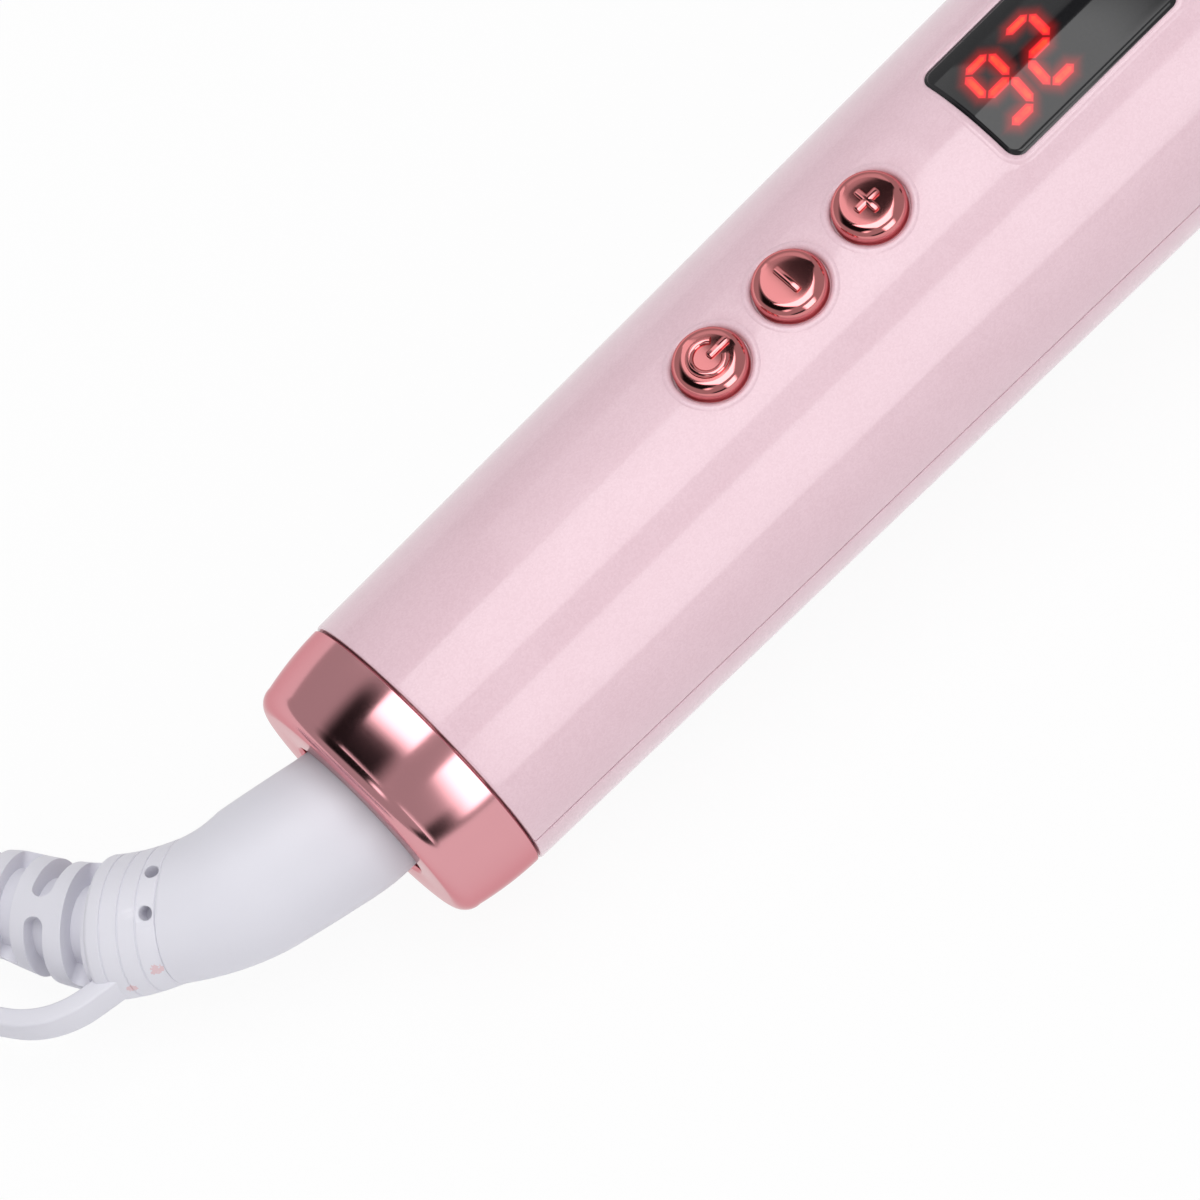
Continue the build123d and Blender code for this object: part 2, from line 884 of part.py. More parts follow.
# Thumb lever that rises back over the handle, with grip ribs at its end
def thumb_lever():
    seat_front = (hinge_x + web_length, web_top)
    seat_rear_end = (hinge_x, web_top)
    rear_low = (hinge_x - lever_length, hinge_height + lever_rise)
    rear_high = (rear_low[0], rear_low[1] + lever_thickness)
    crest = (hinge_x + lever_crest, web_top + lever_thickness)
    low_middle = (
        (seat_rear_end[0] + rear_low[0]) / 2,
        (seat_rear_end[1] + rear_low[1]) / 2 - lever_sag,
    )
    high_middle = ((crest[0] + rear_high[0]) / 2, (crest[1] + rear_high[1]) / 2 - lever_sag)
    outline = [
        Line(seat_front, seat_rear_end),
        ThreePointArc(seat_rear_end, low_middle, rear_low),
        Line(rear_low, rear_high),
        ThreePointArc(rear_high, high_middle, crest),
        Line(crest, seat_front),
    ]
    half = lever_half_width
    body = Pos(0, half, 0) * extrude(Plane.XZ * make_face(outline), 2 * half)
    plan_rear = hinge_x - lever_length + half
    top = hinge_height + lever_rise + lever_thickness + cut_over
    plan = block(plan_rear, hinge_x + web_length, -half, half, 0, top)
    plan += upright(plan_rear, 0, 0, top, half)
    body = body & plan
    for i in range(grip_ribs):
        x = rear_high[0] + grip_inset + grip_pitch * i
        share = (x - rear_high[0]) / (crest[0] - rear_high[0])
        chord = rear_high[1] + (crest[1] - rear_high[1]) * share
        z = chord - 4 * lever_sag * share * (1 - share)
        body += crosswise(x, z, -grip_half_width, grip_half_width, grip_radius)
    for x in lever_screw_places():
        body -= upright(x, 0, web_top - cut_over, top, lever_screw_radius + fit_gap)
        body -= upright(x, 0, lever_screw_seat(), top, lever_screw_head + fit_gap)
    return body


def lever_screw_seat():
    return web_top + lever_thickness - lever_screw_head_height - lever_screw_sink


def lever_screws():
    screws = []
    for x in lever_screw_places():
        seat = lever_screw_seat()
        foot = web_top - web_thickness - lever_screw_end
        head = upright(x, 0, seat, seat + lever_screw_head_height, lever_screw_head)
        screws.append(head + upright(x, 0, foot, seat, lever_screw_radius))
    return Compound(children=screws)


# Torsion spring on the hinge pin, one leg on the saddle and one under the lever
def clamp_spring():
    quarters = 4 * spring_turns
    angles = [-90 - 90 * i for i in range(quarters + 1)] + [-90 - 360 * spring_turns - spring_rear_turn]
    start_side = -spring_pitch * spring_turns / 2
    points = []
    tangents = []
    for angle in angles:
        turn = math.radians(angle)
        side = start_side + spring_pitch * (-90 - angle) / 360
        lead = spring_pitch / (2 * math.pi)
        points.append(
            Vector(
                hinge_x + spring_radius * math.cos(turn),
                side,
                hinge_height + spring_radius * math.sin(turn),
            )
        )
        tangents.append(
            Vector(spring_radius * math.sin(turn), lead, -spring_radius * math.cos(turn)).normalized()
        )
    front = Line(points[0] - tangents[0] * spring_front_leg, points[0])
    rear = Line(points[-1], points[-1] + tangents[-1] * spring_rear_leg)
    solid, path = tube([front, *biarc_edges(points, tangents), rear], spring_wire / 2)
    print("clamp spring least gap", round(least_self_gap(path, spring_wire, 600), 2))
    return solid


# Stand: a hinged plate with a flat foot, drawn where it rests on the floor
def stand_pin():
    reach = knuckle_half_width + ear_gap + ear_thickness
    return crosswise(stand_x, -stand_depth, -reach, reach, pin_radius)


def stand():
    pin = floor_point(stand_x, 0, -stand_depth)
    half = stand_foot_width / 2
    foot_x = pin.X - stand_lean
    reach = Vector(foot_x, 0, stand_thickness / 2) - pin
    plane = Plane(origin=pin, x_dir=(0, 1, 0), z_dir=Vector(0, 1, 0).cross(reach.normalized()))
    top = knuckle_half_width
    length = reach.length
    hip = ear_radius + ear_gap
    right = ((top, 0), (top, hip), (half, length))
    left = [(-x, y) for x, y in reversed(right)]
    outline = make_face(Polyline(*right, *left, close=True))
    head = hip + stand_window_margin / 2
    sill = length - stand_window_margin / 2
    head_half = top - stand_window_margin
    sill_half = half - 2 * stand_window_margin
    opening = make_face(
        Polyline((-head_half, head), (head_half, head), (sill_half, sill), (-sill_half, sill), close=True)
    )
    leg = extrude(plane * (outline - opening), stand_thickness / 2, both=True)
    front = foot_x + stand_thickness / 2
    foot = block(front - stand_foot_length, front, -half, half, 0, stand_thickness)
    corners = foot.edges().filter_by(Axis.Z).sort_by(Axis.X)[:2]
    foot = fillet(corners, stand_foot_round)
    knuckle = crosswise(pin.X, pin.Z, -top, top, knuckle_radius)
    body = split(leg + foot + knuckle, Plane.XY, keep=Keep.TOP)
    bore_half = top + cut_over
    return body - crosswise(pin.X, pin.Z, -bore_half, bore_half, pin_radius + pin_gap)


# Cord: lead from the strain relief, coil, and tail to the plug
def rounded_route(points):
    radii = []
    for before, here, after in zip(points, points[1:], points[2:]):
        turn = math.radians((here - before).get_angle(after - here))
        shorter = min((here - before).length, (after - here).length)
        radii.append(cord_arc_share * shorter / math.tan(turn / 2))
    print("cord bend radii", [round(radius, 1) for radius in radii])
    return FilletPolyline(*points, radius=radii)


def route_tube(name, points):
    solid, path = tube(rounded_route(points).edges(), cord_diameter / 2)
    expected = math.pi * cord_diameter**2 / 4 * path.length
    print(name, "length", round(path.length, 1), "volume ratio", round(solid.volume / expected, 4))
    return solid


def relief_end():
    plane = stem_plane(relief_length())
    origin = floor_point(plane.origin.X, plane.origin.Y, plane.origin.Z)
    ahead = plane.origin + plane.z_dir
    return origin, floor_point(ahead.X, ahead.Y, ahead.Z) - origin


def cord_lead_tube():
    origin, direction = relief_end()
    points = [origin, origin + direction * cord_lead, *[Vector(*point) for point in lead_points]]
    return route_tube("cord lead", points)


cord_pitch = cord_diameter + cord_gap
coil_outer_radius = coil_inner_radius + cord_pitch * coil_layer_turns
coil_start = Vector(*lead_points[-1])
coil_middle = coil_start + Vector(-cord_diameter, -coil_outer_radius, 0)


def coil_station(turned_angle):
    layer_angle = 360 * coil_layer_turns
    reverse = turned_angle - layer_angle
    radius = coil_inner_radius + cord_pitch * abs(reverse) / 360
    rise = cord_pitch * min(max(reverse / 180 + 0.5, 0), 1)
    turn = math.radians(90 + turned_angle)
    out = Vector(math.cos(turn), math.sin(turn), 0)
    ahead = Vector(-math.sin(turn), math.cos(turn), 0)
    spiral = 0.0
    climb = 0.0
    if 0 < turned_angle < coil_layers * layer_angle:
        spiral = math.copysign(cord_pitch / (2 * math.pi), reverse) if reverse else 0.0
        climb = coil_climb * cord_pitch / math.pi if reverse == 0 else 0.0
    point = coil_middle + out * radius + Vector(0, 0, rise)
    tangent = (ahead * radius + out * spiral + Vector(0, 0, climb)).normalized()
    return point, tangent


def coil_stations():
    whole = 360 * coil_layer_turns * coil_layers
    angles = [90 * i for i in range(round(whole / 90) + 1)] + [whole + coil_leave_angle]
    return [coil_station(angle) for angle in angles]


def cord_coil():
    stations = coil_stations()
    points = [point for point, _ in stations]
    tangents = [tangent for _, tangent in stations]
    entry = Line(coil_start, points[0])
    leave = Line(points[-1], points[-1] + tangents[-1] * cord_diameter)
    solid, path = tube([entry, *biarc_edges(points, tangents), leave], cord_diameter / 2)
    expected = math.pi * cord_diameter**2 / 4 * path.length
    print("cord coil length", round(path.length, 1), "volume ratio", round(solid.volume / expected, 4))
    print("cord coil least gap", round(least_self_gap(path, cord_diameter, 1200), 2))
    return solid


def coil_leave():
    point, tangent = coil_stations()[-1]
    return point + tangent * cord_diameter, tangent


def cord_tail_tube():
    origin, direction = coil_leave()
    points = [origin, origin + direction * cord_tail_lead, *[Vector(*point) for point in tail_points]]
    return route_tube("cord tail", points)


def cord_tie():
    inner = math.sqrt((coil_inner_radius - cord_diameter / 2) ** 2 - tie_width**2 / 4) - tie_gap
    outer = coil_outer_radius - cord_pitch / 2 + cord_diameter / 2 + tie_gap
    bottom = coil_start.Z - cord_diameter / 2 - tie_gap
    top = coil_start.Z + cord_pitch * (coil_layers - 1) + cord_diameter / 2 + tie_gap
    width = outer - inner
    height = top - bottom
    hole = RectangleRounded(width, height, tie_corner)
    wall = 2 * tie_thickness
    band = RectangleRounded(width + wall, height + wall, tie_corner + tie_thickness)
    place = Plane(
        origin=(coil_middle.X, coil_middle.Y - (inner + outer) / 2, (bottom + top) / 2),
        x_dir=(0, 1, 0),
        z_dir=(1, 0, 0),
    )
    return extrude(place * (band - hole), tie_width / 2, both=True)


# Two pin plug that lies flat, pins along -X
plug_entry = Vector(*tail_points[-1])
plug_neck_front = plug_entry.X - plug_neck_length
plug_face = plug_neck_front - plug_body_length


def plug_body():
    half = plug_width / 2
    neck = plug_neck_radius
    shoulder = plug_face + plug_body_length - plug_shoulder
    right = ((plug_face, half), (shoulder, half), (plug_neck_front, neck))
    left = [(x, -y) for x, y in reversed(right)]
    outline = make_face(Polyline(*right, *left, close=True))
    body = extrude(Pos(0, plug_entry.Y, plug_entry.Z) * outline, plug_height / 2, both=True)
    long_edges = body.edges().filter_by(GeomType.LINE).filter_by(Axis.X)
    body = fillet(long_edges, plug_edge_round)
    centre = Pos(0, plug_entry.Y, plug_entry.Z)
    body += centre * disc(plug_neck_front - plug_shoulder / 2, plug_entry.X, neck)
    step = plug_neck_length / (plug_neck_ribs + 1)
    core = cord_diameter / 2 + plug_rib_wall
    for i in range(plug_neck_ribs):
        x = plug_neck_front + step * (i + 1) - plug_rib_width / 2
        body -= centre * ring(x, x + plug_rib_width, neck + cut_over, core)
    for y in plug_pin_sides():
        body -= Pos(0, y, plug_entry.Z) * disc(plug_face, plug_face + plug_pin_root, plug_root_radius)
    return body


def plug_pin_sides():
    return (plug_entry.Y - plug_pin_spacing / 2, plug_entry.Y + plug_pin_spacing / 2)


def plug_pins():
    pins = []
    for y in plug_pin_sides():
        pin = disc(plug_face - plug_pin_length, plug_face, plug_pin_radius)
        tip = pin.edges().filter_by(GeomType.CIRCLE).sort_by(Axis.X)[0]
        pin = fillet(tip, plug_tip_round) + disc(plug_face, plug_face + plug_pin_root, plug_root_radius)
        pins.append(Pos(0, y, plug_entry.Z) * pin)
    return Compound(children=pins)


# Every piece of the level iron, then the pieces drawn on the floor
iron_pieces = {
    "upper_shell": upper_shell(),
    "lower_shell": lower_shell(),
    "shell_screws": shell_screws(),
    "end_cap": end_cap(),
    "swivel_bush": swivel_bush(),
    "slip_rings": slip_rings(),
    "contact_holder": contact_holder(),
    "slip_contacts": slip_contacts(),
    "swivel_stem": swivel_stem(),
    "strain_relief": strain_relief(),
    "key_switches": key_switches(),
    "circuit_board": circuit_board(),
    "display_window": display_window(),
    "display_module": display_module(),
    "front_collar": front_collar(),
    "barrel_holder": barrel_holder(),
    "barrel": barrel(),
    "heater_plate": heater_plate(),
    "upper_heat_spreader": heat_spreader(1),
    "lower_heat_spreader": heat_spreader(-1),
    "temperature_sensor": temperature_sensor(),
    "cool_tip": cool_tip(),
    "tip_bracket": tip_bracket(),
    "tip_screw": tip_screw(),
    "clamp_saddle": clamp_saddle(),
    "clamp_pin": clamp_pin(),
    "clamp_plate": clamp_plate(),
    "thumb_lever": thumb_lever(),
    "lever_screws": lever_screws(),
    "clamp_spring": clamp_spring(),
    "stand_pin": stand_pin(),
}
for name, place in zip(button_names, button_places):
    iron_pieces[name + "_button"] = button(place)
    iron_pieces[name + "_plunger"] = plunger(place)

floor_pieces = {
    "stand": stand(),
    "cord_lead": cord_lead_tube(),
    "cord_coil": cord_coil(),
    "cord_tail": cord_tail_tube(),
    "cord_tie": cord_tie(),
    "plug_body": plug_body(),
    "plug_pins": plug_pins(),
}

# The origin is under the middle of the iron, so the tipped iron's own length sets the shift
tipped = Location((0, 0, heel_height), (0, -rest_tilt, 0))
rear_end = (tipped * iron_pieces["end_cap"]).bounding_box().min.X
front_end = (tipped * iron_pieces["cool_tip"]).bounding_box().max.X
shift = -(rear_end + front_end) / 2
print("shift", round(shift, 4), "rear", round(rear_end, 3), "front", round(front_end, 3))

os.makedirs("parts", exist_ok=True)
for name, piece in iron_pieces.items():
    save(name, Pos(shift, 0, 0) * tipped * piece)
for name, piece in floor_pieces.items():
    save(name, Pos(shift, 0, 0) * piece)
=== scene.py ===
import json
import math

import bmesh
import bpy
from mathutils import Matrix, Vector


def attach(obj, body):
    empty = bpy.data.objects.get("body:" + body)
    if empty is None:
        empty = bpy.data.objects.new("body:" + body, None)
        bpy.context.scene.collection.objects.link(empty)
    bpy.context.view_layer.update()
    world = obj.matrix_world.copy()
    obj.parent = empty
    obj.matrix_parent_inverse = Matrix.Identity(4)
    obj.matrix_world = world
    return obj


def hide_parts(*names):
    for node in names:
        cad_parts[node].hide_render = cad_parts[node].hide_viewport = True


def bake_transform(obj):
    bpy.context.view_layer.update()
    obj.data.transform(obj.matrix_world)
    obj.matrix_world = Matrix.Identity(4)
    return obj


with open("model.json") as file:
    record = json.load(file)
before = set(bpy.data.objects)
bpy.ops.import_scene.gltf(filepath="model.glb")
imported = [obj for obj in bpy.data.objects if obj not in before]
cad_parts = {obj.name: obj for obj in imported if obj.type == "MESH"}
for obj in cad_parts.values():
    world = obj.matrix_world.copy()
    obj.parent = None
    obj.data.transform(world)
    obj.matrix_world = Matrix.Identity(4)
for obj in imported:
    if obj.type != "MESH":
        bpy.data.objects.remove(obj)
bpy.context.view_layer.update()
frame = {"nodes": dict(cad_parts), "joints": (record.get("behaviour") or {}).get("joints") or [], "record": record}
nodes = frame["nodes"]
mm = 0.001
print("frame loaded,", len(nodes), "nodes")


def jointNamed(name):
    return next(joint for joint in frame["joints"] if joint["name"] == name)


# The iron lies tipped on its stand: +X to the tip, +Z where the display faces, from the handle's rear end
swivelJoint = jointNamed("cord_swivel")
ironStart = Vector(swivelJoint["pos_m"])
ironAxis = Vector(swivelJoint["axis"])
ironTilt = math.atan2(ironAxis.z, ironAxis.x)
ironPlace = Matrix.Translation(ironStart) @ Matrix.Rotation(-ironTilt, 4, "Y")


def clearSelection():
    if bpy.context.object and bpy.context.object.mode != "OBJECT":
        bpy.ops.object.mode_set(mode="OBJECT")
    bpy.ops.object.select_all(action="DESELECT")


def pickOnly(piece):
    clearSelection()
    piece.select_set(True)
    bpy.context.view_layer.objects.active = piece


# Shader maths: a Wire is an output socket, and sums of wires add Math nodes
class Wire:
    def __init__(self, finish, socket):
        self.finish = finish
        self.socket = socket

    def __add__(self, other):
        return self.finish.maths("ADD", self, other)

    def __radd__(self, other):
        return self.finish.maths("ADD", other, self)

    def __sub__(self, other):
        return self.finish.maths("SUBTRACT", self, other)

    def __rsub__(self, other):
        return self.finish.maths("SUBTRACT", other, self)

    def __mul__(self, other):
        return self.finish.maths("MULTIPLY", self, other)

    def __rmul__(self, other):
        return self.finish.maths("MULTIPLY", other, self)

    def __gt__(self, other):
        return self.finish.maths("GREATER_THAN", self, other)

    def __lt__(self, other):
        return self.finish.maths("LESS_THAN", self, other)


class Finish:
    def __init__(self, name):
        self.material = bpy.data.materials.new(name)
        self.material.use_nodes = True
        self.tree = self.material.node_tree
        self.shader = self.tree.nodes["Principled BSDF"]
        self.output = self.tree.nodes["Material Output"]

    def join(self, value, socket):
        if isinstance(value, Wire):
            self.tree.links.new(value.socket, socket)
        else:
            socket.default_value = value

    def add(self, kind, settings, sockets, out=0):
        node = self.tree.nodes.new(kind)
        for name, value in settings.items():
            setattr(node, name, value)
        for name, value in sockets.items():
            self.join(value, node.inputs[name])
        return Wire(self, node.outputs[out])

    def maths(self, operation, first, second=0.0):
        return self.add("ShaderNodeMath", {"operation": operation}, {0: first, 1: second})

    def place(self):
        return self.add("ShaderNodeTexCoord", {}, {}, "Object")

    def mapSpot(self, name):
        # The two ways of a UV map
        spot = self.add("ShaderNodeUVMap", {"uv_map": name}, {})
        return [self.add("ShaderNodeSeparateXYZ", {}, {0: spot}, way) for way in (0, 1)]

    def noise(self, scale, detail):
        sockets = {"Vector": self.place(), "Scale": scale, "Detail": detail}
        return self.add("ShaderNodeTexNoise", {}, sockets, "Fac")

    def flakes(self, scale):
        cells = self.add("ShaderNodeTexVoronoi", {}, {"Vector": self.place(), "Scale": scale}, "Color")
        return self.add("ShaderNodeSeparateColor", {}, {"Color": cells}, 0)

    def fade(self, value, low, high):
        # 0 at low and 1 at high, with soft ends
        sockets = {"Value": value, "From Min": low, "From Max": high}
        return self.add("ShaderNodeMapRange", {"interpolation_type": "SMOOTHSTEP"}, sockets)

    def blendColours(self, factor, first, second):
        ends = [end if isinstance(end, Wire) else (*end, 1) for end in (first, second)]
        return self.add("ShaderNodeMix", {"data_type": "RGBA"}, {0: factor, 6: ends[0], 7: ends[1]}, 2)

    def bump(self, height, strength, distance):
        sockets = {"Height": height, "Strength": strength, "Distance": distance}
        return self.add("ShaderNodeBump", {}, sockets)

    def surface(self, sockets):
        for name, value in sockets.items():
            self.join(value, self.shader.inputs[name])
        return self.material

    def glowOver(self, base, share, strength):
        # White light in place of the base shader, by a share
        glow = self.add("ShaderNodeEmission", {}, {"Color": (1, 1, 1, 1), "Strength": strength})
        mixed = self.add("ShaderNodeMixShader", {}, {0: share, 1: base, 2: glow})
        self.join(mixed, self.output.inputs["Surface"])
        return self.material


def linear(red, green, blue):
    # Screen levels, 0 to 255, to linear light
    def channel(value):
        share = value / 255
        return share / 12.92 if share <= 0.04045 else ((share + 0.055) / 1.055) ** 2.4
    return channel(red), channel(green), channel(blue)


# Camera: the photograph's view of the rear of the handle
camera = {
    "lens": 200.0, "sensor": 36.0, "width": 127.7 * mm, "noseDown": 7.5, "roll": 26.2,
    "along": 23.8 * mm, "across": -1.82 * mm, "imageTurn": 44.34, "clipStart": 10.0 * mm,
}


def addCamera(setup):
    nose, roll, turn = [math.radians(setup[name]) for name in ("noseDown", "roll", "imageTurn")]
    towards = Vector((-math.sin(nose), -math.cos(nose) * math.sin(roll), math.cos(nose) * math.cos(roll)))
    lengthways = Vector((math.cos(nose), -math.sin(nose) * math.sin(roll), math.sin(nose) * math.cos(roll)))
    sideways = Vector((0, math.cos(roll), math.sin(roll)))
    right = lengthways * math.cos(turn) - sideways * math.sin(turn)
    up = lengthways * math.sin(turn) + sideways * math.cos(turn)
    distance = setup["width"] * setup["lens"] / setup["sensor"]
    spot = Vector((setup["along"], 0, 0)) + sideways * setup["across"] + towards * distance
    clearSelection()
    bpy.ops.object.camera_add()
    lens = bpy.context.object
    lens.name = "photoCamera"
    lens.data.lens = setup["lens"]
    lens.data.sensor_width = setup["sensor"]
    lens.data.clip_start = setup["clipStart"]
    turned = Matrix((right, up, towards)).transposed().to_4x4()
    lens.matrix_world = ironPlace @ Matrix.Translation(spot) @ turned
    bpy.context.scene.camera = lens
    return ironPlace.to_3x3() @ sideways, ironPlace @ Vector((setup["along"], 0, 0))


acrossSide, viewSpot = addCamera(camera)
bpy.context.scene.view_settings.view_transform = "Standard"
print("camera placed")

# Studio: pale floor that keeps a light shadow, even sky, soft boxes, and cards that glossy faces show.
# Edges are angles in degrees at the handle: across it from the upper left, then along it from the cord.
# A box's or card's light follows, and then the shares of a card that fade along and across
studio = {
    "floorSize": 6.0, "floorColour": (0.86, 0.86, 0.87), "floorRough": 0.9, "floorGlow": 0.93, "sky": 0.5,
    "distance": 0.9, "cardGap": 0.04,
    "boxes": {
        "upperBox": (-48.8, -3.6, -7.0, 25.0, 2.8), "lowerBox": (17.0, 60.0, -7.0, 25.0, 1.1),
        "fillBox": (-45.0, 45.0, -75.0, -30.0, 0.45),
    },
    "cards": {
        "upperCard": ((-46.0, -3.6, -12.0, 26.0), 3.3, 0.2, 0.02),
        "lowerCard": ((17.0, 60.0, -12.0, 26.0), 3.4, 0.25, 0.08),
        "paleCard": ((-86.0, -46.1, 4.5, 12.1), 1.3, 0.08, 0.01),
        "rearCard": ((-12.0, 8.0, -46.0, -22.0), 2.0, 0.4, 0.4),
        "farCard": ((-57.5, -46.1, 12.2, 46.0), 0.03, 0.02, 0.2),
        "highCard": ((-86.0, -56.0, 12.2, 46.0), 0.8, 0.05, 0.2),
        "cameraCard": ((-74.0, -2.0, -54.0, 6.0), 0.01, 0.22, 0.25),
        "lowCard": ((42.0, 64.0, -50.0, -2.0), 0.03, 0.3, 0.35),
    },
}


def addFloor(setup):
    clearSelection()
    bpy.ops.mesh.primitive_plane_add(size=setup["floorSize"])
    floor = bpy.context.object
    floor.name = "studioFloor"
    finish = Finish("floorPaper")
    finish.surface({"Base Color": (*setup["floorColour"], 1), "Roughness": setup["floorRough"]})
    seen = 0.0
    for ray in ("Is Camera Ray", "Is Glossy Ray", "Is Transmission Ray"):
        seen = finish.add("ShaderNodeLightPath", {}, {}, ray) + seen
    share = finish.maths("MINIMUM", seen, 1.0) * setup["floorGlow"]
    paper = Wire(finish, finish.shader.outputs[0])
    floor.data.materials.append(finish.glowOver(paper, share, 1.0))


def addSky(strength):
    world = bpy.data.worlds.new("studioSky")
    bpy.context.scene.world = world
    world.use_nodes = True
    light = world.node_tree.nodes["Background"].inputs
    light["Color"].default_value = (1, 1, 1, 1)
    light["Strength"].default_value = strength


def studioSpot(edges, distance):
    # Where a box or card hangs, with its size along and across the handle
    firstSide, lastSide, firstAlong, lastAlong = [math.radians(edge) for edge in edges]
    side, along = (firstSide + lastSide) / 2, (firstAlong + lastAlong) / 2
    lengthways = ironPlace.to_3x3() @ Vector((1, 0, 0))
    upright = lengthways.cross(acrossSide)
    level = upright * math.cos(side) - acrossSide * math.sin(side)
    outward = level * math.cos(along) + lengthways * math.sin(along)
    width = outward.cross(lengthways).normalized()
    turned = Matrix((width.cross(outward), width, outward)).transposed().to_4x4()
    reach = 2 * distance
    size = (reach * math.tan((lastAlong - firstAlong) / 2), reach * math.tan((lastSide - firstSide) / 2))
    return Matrix.Translation(viewSpot + outward * distance) @ turned, size


def addSoftBox(name, edges, radiance):
    place, size = studioSpot(edges, studio["distance"])
    lamp = bpy.data.lights.new(name, "AREA")
    lamp.shape = "RECTANGLE"
    lamp.size, lamp.size_y = size
    lamp.energy = radiance * math.pi * lamp.size * lamp.size_y
    box = bpy.data.objects.new(name, lamp)
    bpy.context.scene.collection.objects.link(box)
    box.matrix_world = place
    box.visible_glossy = False


def addCard(name, distance, edges, radiance, *softShares):
    # Seen in glossy surfaces alone
    place, size = studioSpot(edges, distance)
    clearSelection()
    bpy.ops.mesh.primitive_plane_add(size=1.0)
    card = bpy.context.object
    card.name = name
    card.data.transform(place @ Matrix.Diagonal((*size, 1, 1)))
    finish = Finish(name)
    cover = 1.0
    for edge, soft in zip(finish.mapSpot("UVMap"), softShares):
        inside = finish.maths("MINIMUM", edge, 1.0 - edge)
        cover = finish.fade(inside, 0.0, soft) * cover
    clear = finish.add("ShaderNodeBsdfTransparent", {}, {})
    card.data.materials.append(finish.glowOver(clear, cover, radiance))
    card.visible_camera = card.visible_diffuse = card.visible_shadow = False


addFloor(studio)
addSky(studio["sky"])
for boxName, (*boxEdges, boxLight) in studio["boxes"].items():
    addSoftBox(boxName, boxEdges, boxLight)
for cardOrder, (cardName, card) in enumerate(studio["cards"].items()):
    addCard(cardName, studio["distance"] + studio["cardGap"] * cardOrder, *card)
print("studio lit")

# Finishes: each is worked from noise and cells in the piece's own space. A pattern's scale stands under its
# name, and spread is what the pattern adds to the roughness
pearl = {
    "low": linear(222, 187, 198), "high": linear(234, 203, 213), "flakes": 5200.0, "clouds": 160.0,
    "rough": 0.34, "spread": 0.12, "gloss": 0.25, "coat": 0.72, "coatRough": 0.085,
    "bump": 0.1, "bumpDepth": 0.05 * mm,
}
chrome = {"clouds": 90.0, "spread": 0.05}
paleMoulding = {"grain": 900.0, "clouds": 70.0, "spread": 0.12, "bump": 0.12, "bumpDepth": 0.08 * mm}
deepMoulding = {"grain": 1400.0, "spread": 0.15, "bump": 0.2, "bumpDepth": 0.06 * mm}
brushedMetal = {"streaks": (60.0, 900.0, 900.0), "spread": 0.14}
heatCoat = {
    "low": linear(196, 142, 136), "high": linear(222, 172, 164), "flakes": 3800.0, "metallic": 0.55,
    "rough": 0.24, "spread": 0.14, "coat": 0.6, "coatRough": 0.1,
}
vinyl = {"low": linear(218, 217, 226), "high": linear(226, 225, 233), "rough": 0.42}
rubs = {
    "spots": (((-37.3, 2.5, 1.6), 1.5), ((-40.25, 4.15, -0.55), 1.2)), "colour": linear(222, 150, 150),
    "grain": 2600.0, "above": 0.24, "share": 0.45,
}


def pearlPink(setup):
    finish = Finish("pearlPink")
    flake = finish.flakes(setup["flakes"])
    cloud = finish.noise(setup["clouds"], detail=2.0)
    return finish.surface({
        "Base Color": finish.blendColours(flake * 0.5 + cloud * 0.5, setup["low"], setup["high"]),
        "Roughness": setup["rough"] + flake * setup["spread"], "Specular IOR Level": setup["gloss"],
        "Coat Weight": setup["coat"], "Coat Roughness": setup["coatRough"],
        "Normal": finish.bump(flake, setup["bump"], setup["bumpDepth"]),
    })


def roseChrome(name, low, high, tint, rough):
    finish = Finish(name)
    cloud = finish.noise(chrome["clouds"], detail=3.0)
    return finish.surface({
        "Base Color": finish.blendColours(cloud, low, high), "Metallic": 1.0,
        "Roughness": rough + cloud * chrome["spread"], "Specular Tint": (*tint, 1),
    })


def rubbed(finish, colour):
    # Small pink rubs over a colour, each at its spot on the iron and fading out to its reach
    for spot, reach in rubs["spots"]:
        ends = {0: finish.place(), 1: ironPlace @ (Vector(spot) * mm)}
        away = finish.add("ShaderNodeVectorMath", {"operation": "DISTANCE"}, ends, "Value")
        near = finish.add("ShaderNodeMapRange", {}, {"Value": away, "From Min": reach * mm, "From Max": 0.0})
        worn = finish.noise(rubs["grain"], detail=4.0) * near > rubs["above"]
        colour = finish.blendColours(worn * rubs["share"], colour, rubs["colour"])
    return colour


def whiteMoulding(name, low, high, rough, worn=False):
    finish = Finish(name)
    grain = finish.noise(paleMoulding["grain"], detail=3.0)
    cloud = finish.noise(paleMoulding["clouds"], detail=2.0)
    colour = finish.blendColours(cloud, low, high)
    return finish.surface({
        "Base Color": rubbed(finish, colour) if worn else colour,
        "Roughness": rough + grain * paleMoulding["spread"],
        "Normal": finish.bump(grain, paleMoulding["bump"], paleMoulding["bumpDepth"]),
    })


def darkMoulding(name, low, high, rough):
    finish = Finish(name)
    grain = finish.noise(deepMoulding["grain"], detail=2.0)
    return finish.surface({
        "Base Color": finish.blendColours(grain, low, high),
        "Roughness": rough + grain * deepMoulding["spread"],
        "Normal": finish.bump(grain, deepMoulding["bump"], deepMoulding["bumpDepth"]),
    })


def metal(name, low, high, rough):
    finish = Finish(name)
    streaks = {"Vector": finish.place(), "Scale": brushedMetal["streaks"]}
    lines = {"Vector": finish.add("ShaderNodeMapping", {}, streaks), "Scale": 1.0, "Detail": 3.0}
    line = finish.add("ShaderNodeTexNoise", {}, lines, "Fac")
    return finish.surface({
        "Base Color": finish.blendColours(line, low, high), "Metallic": 1.0,
        "Roughness": rough + line * brushedMetal["spread"],
    })


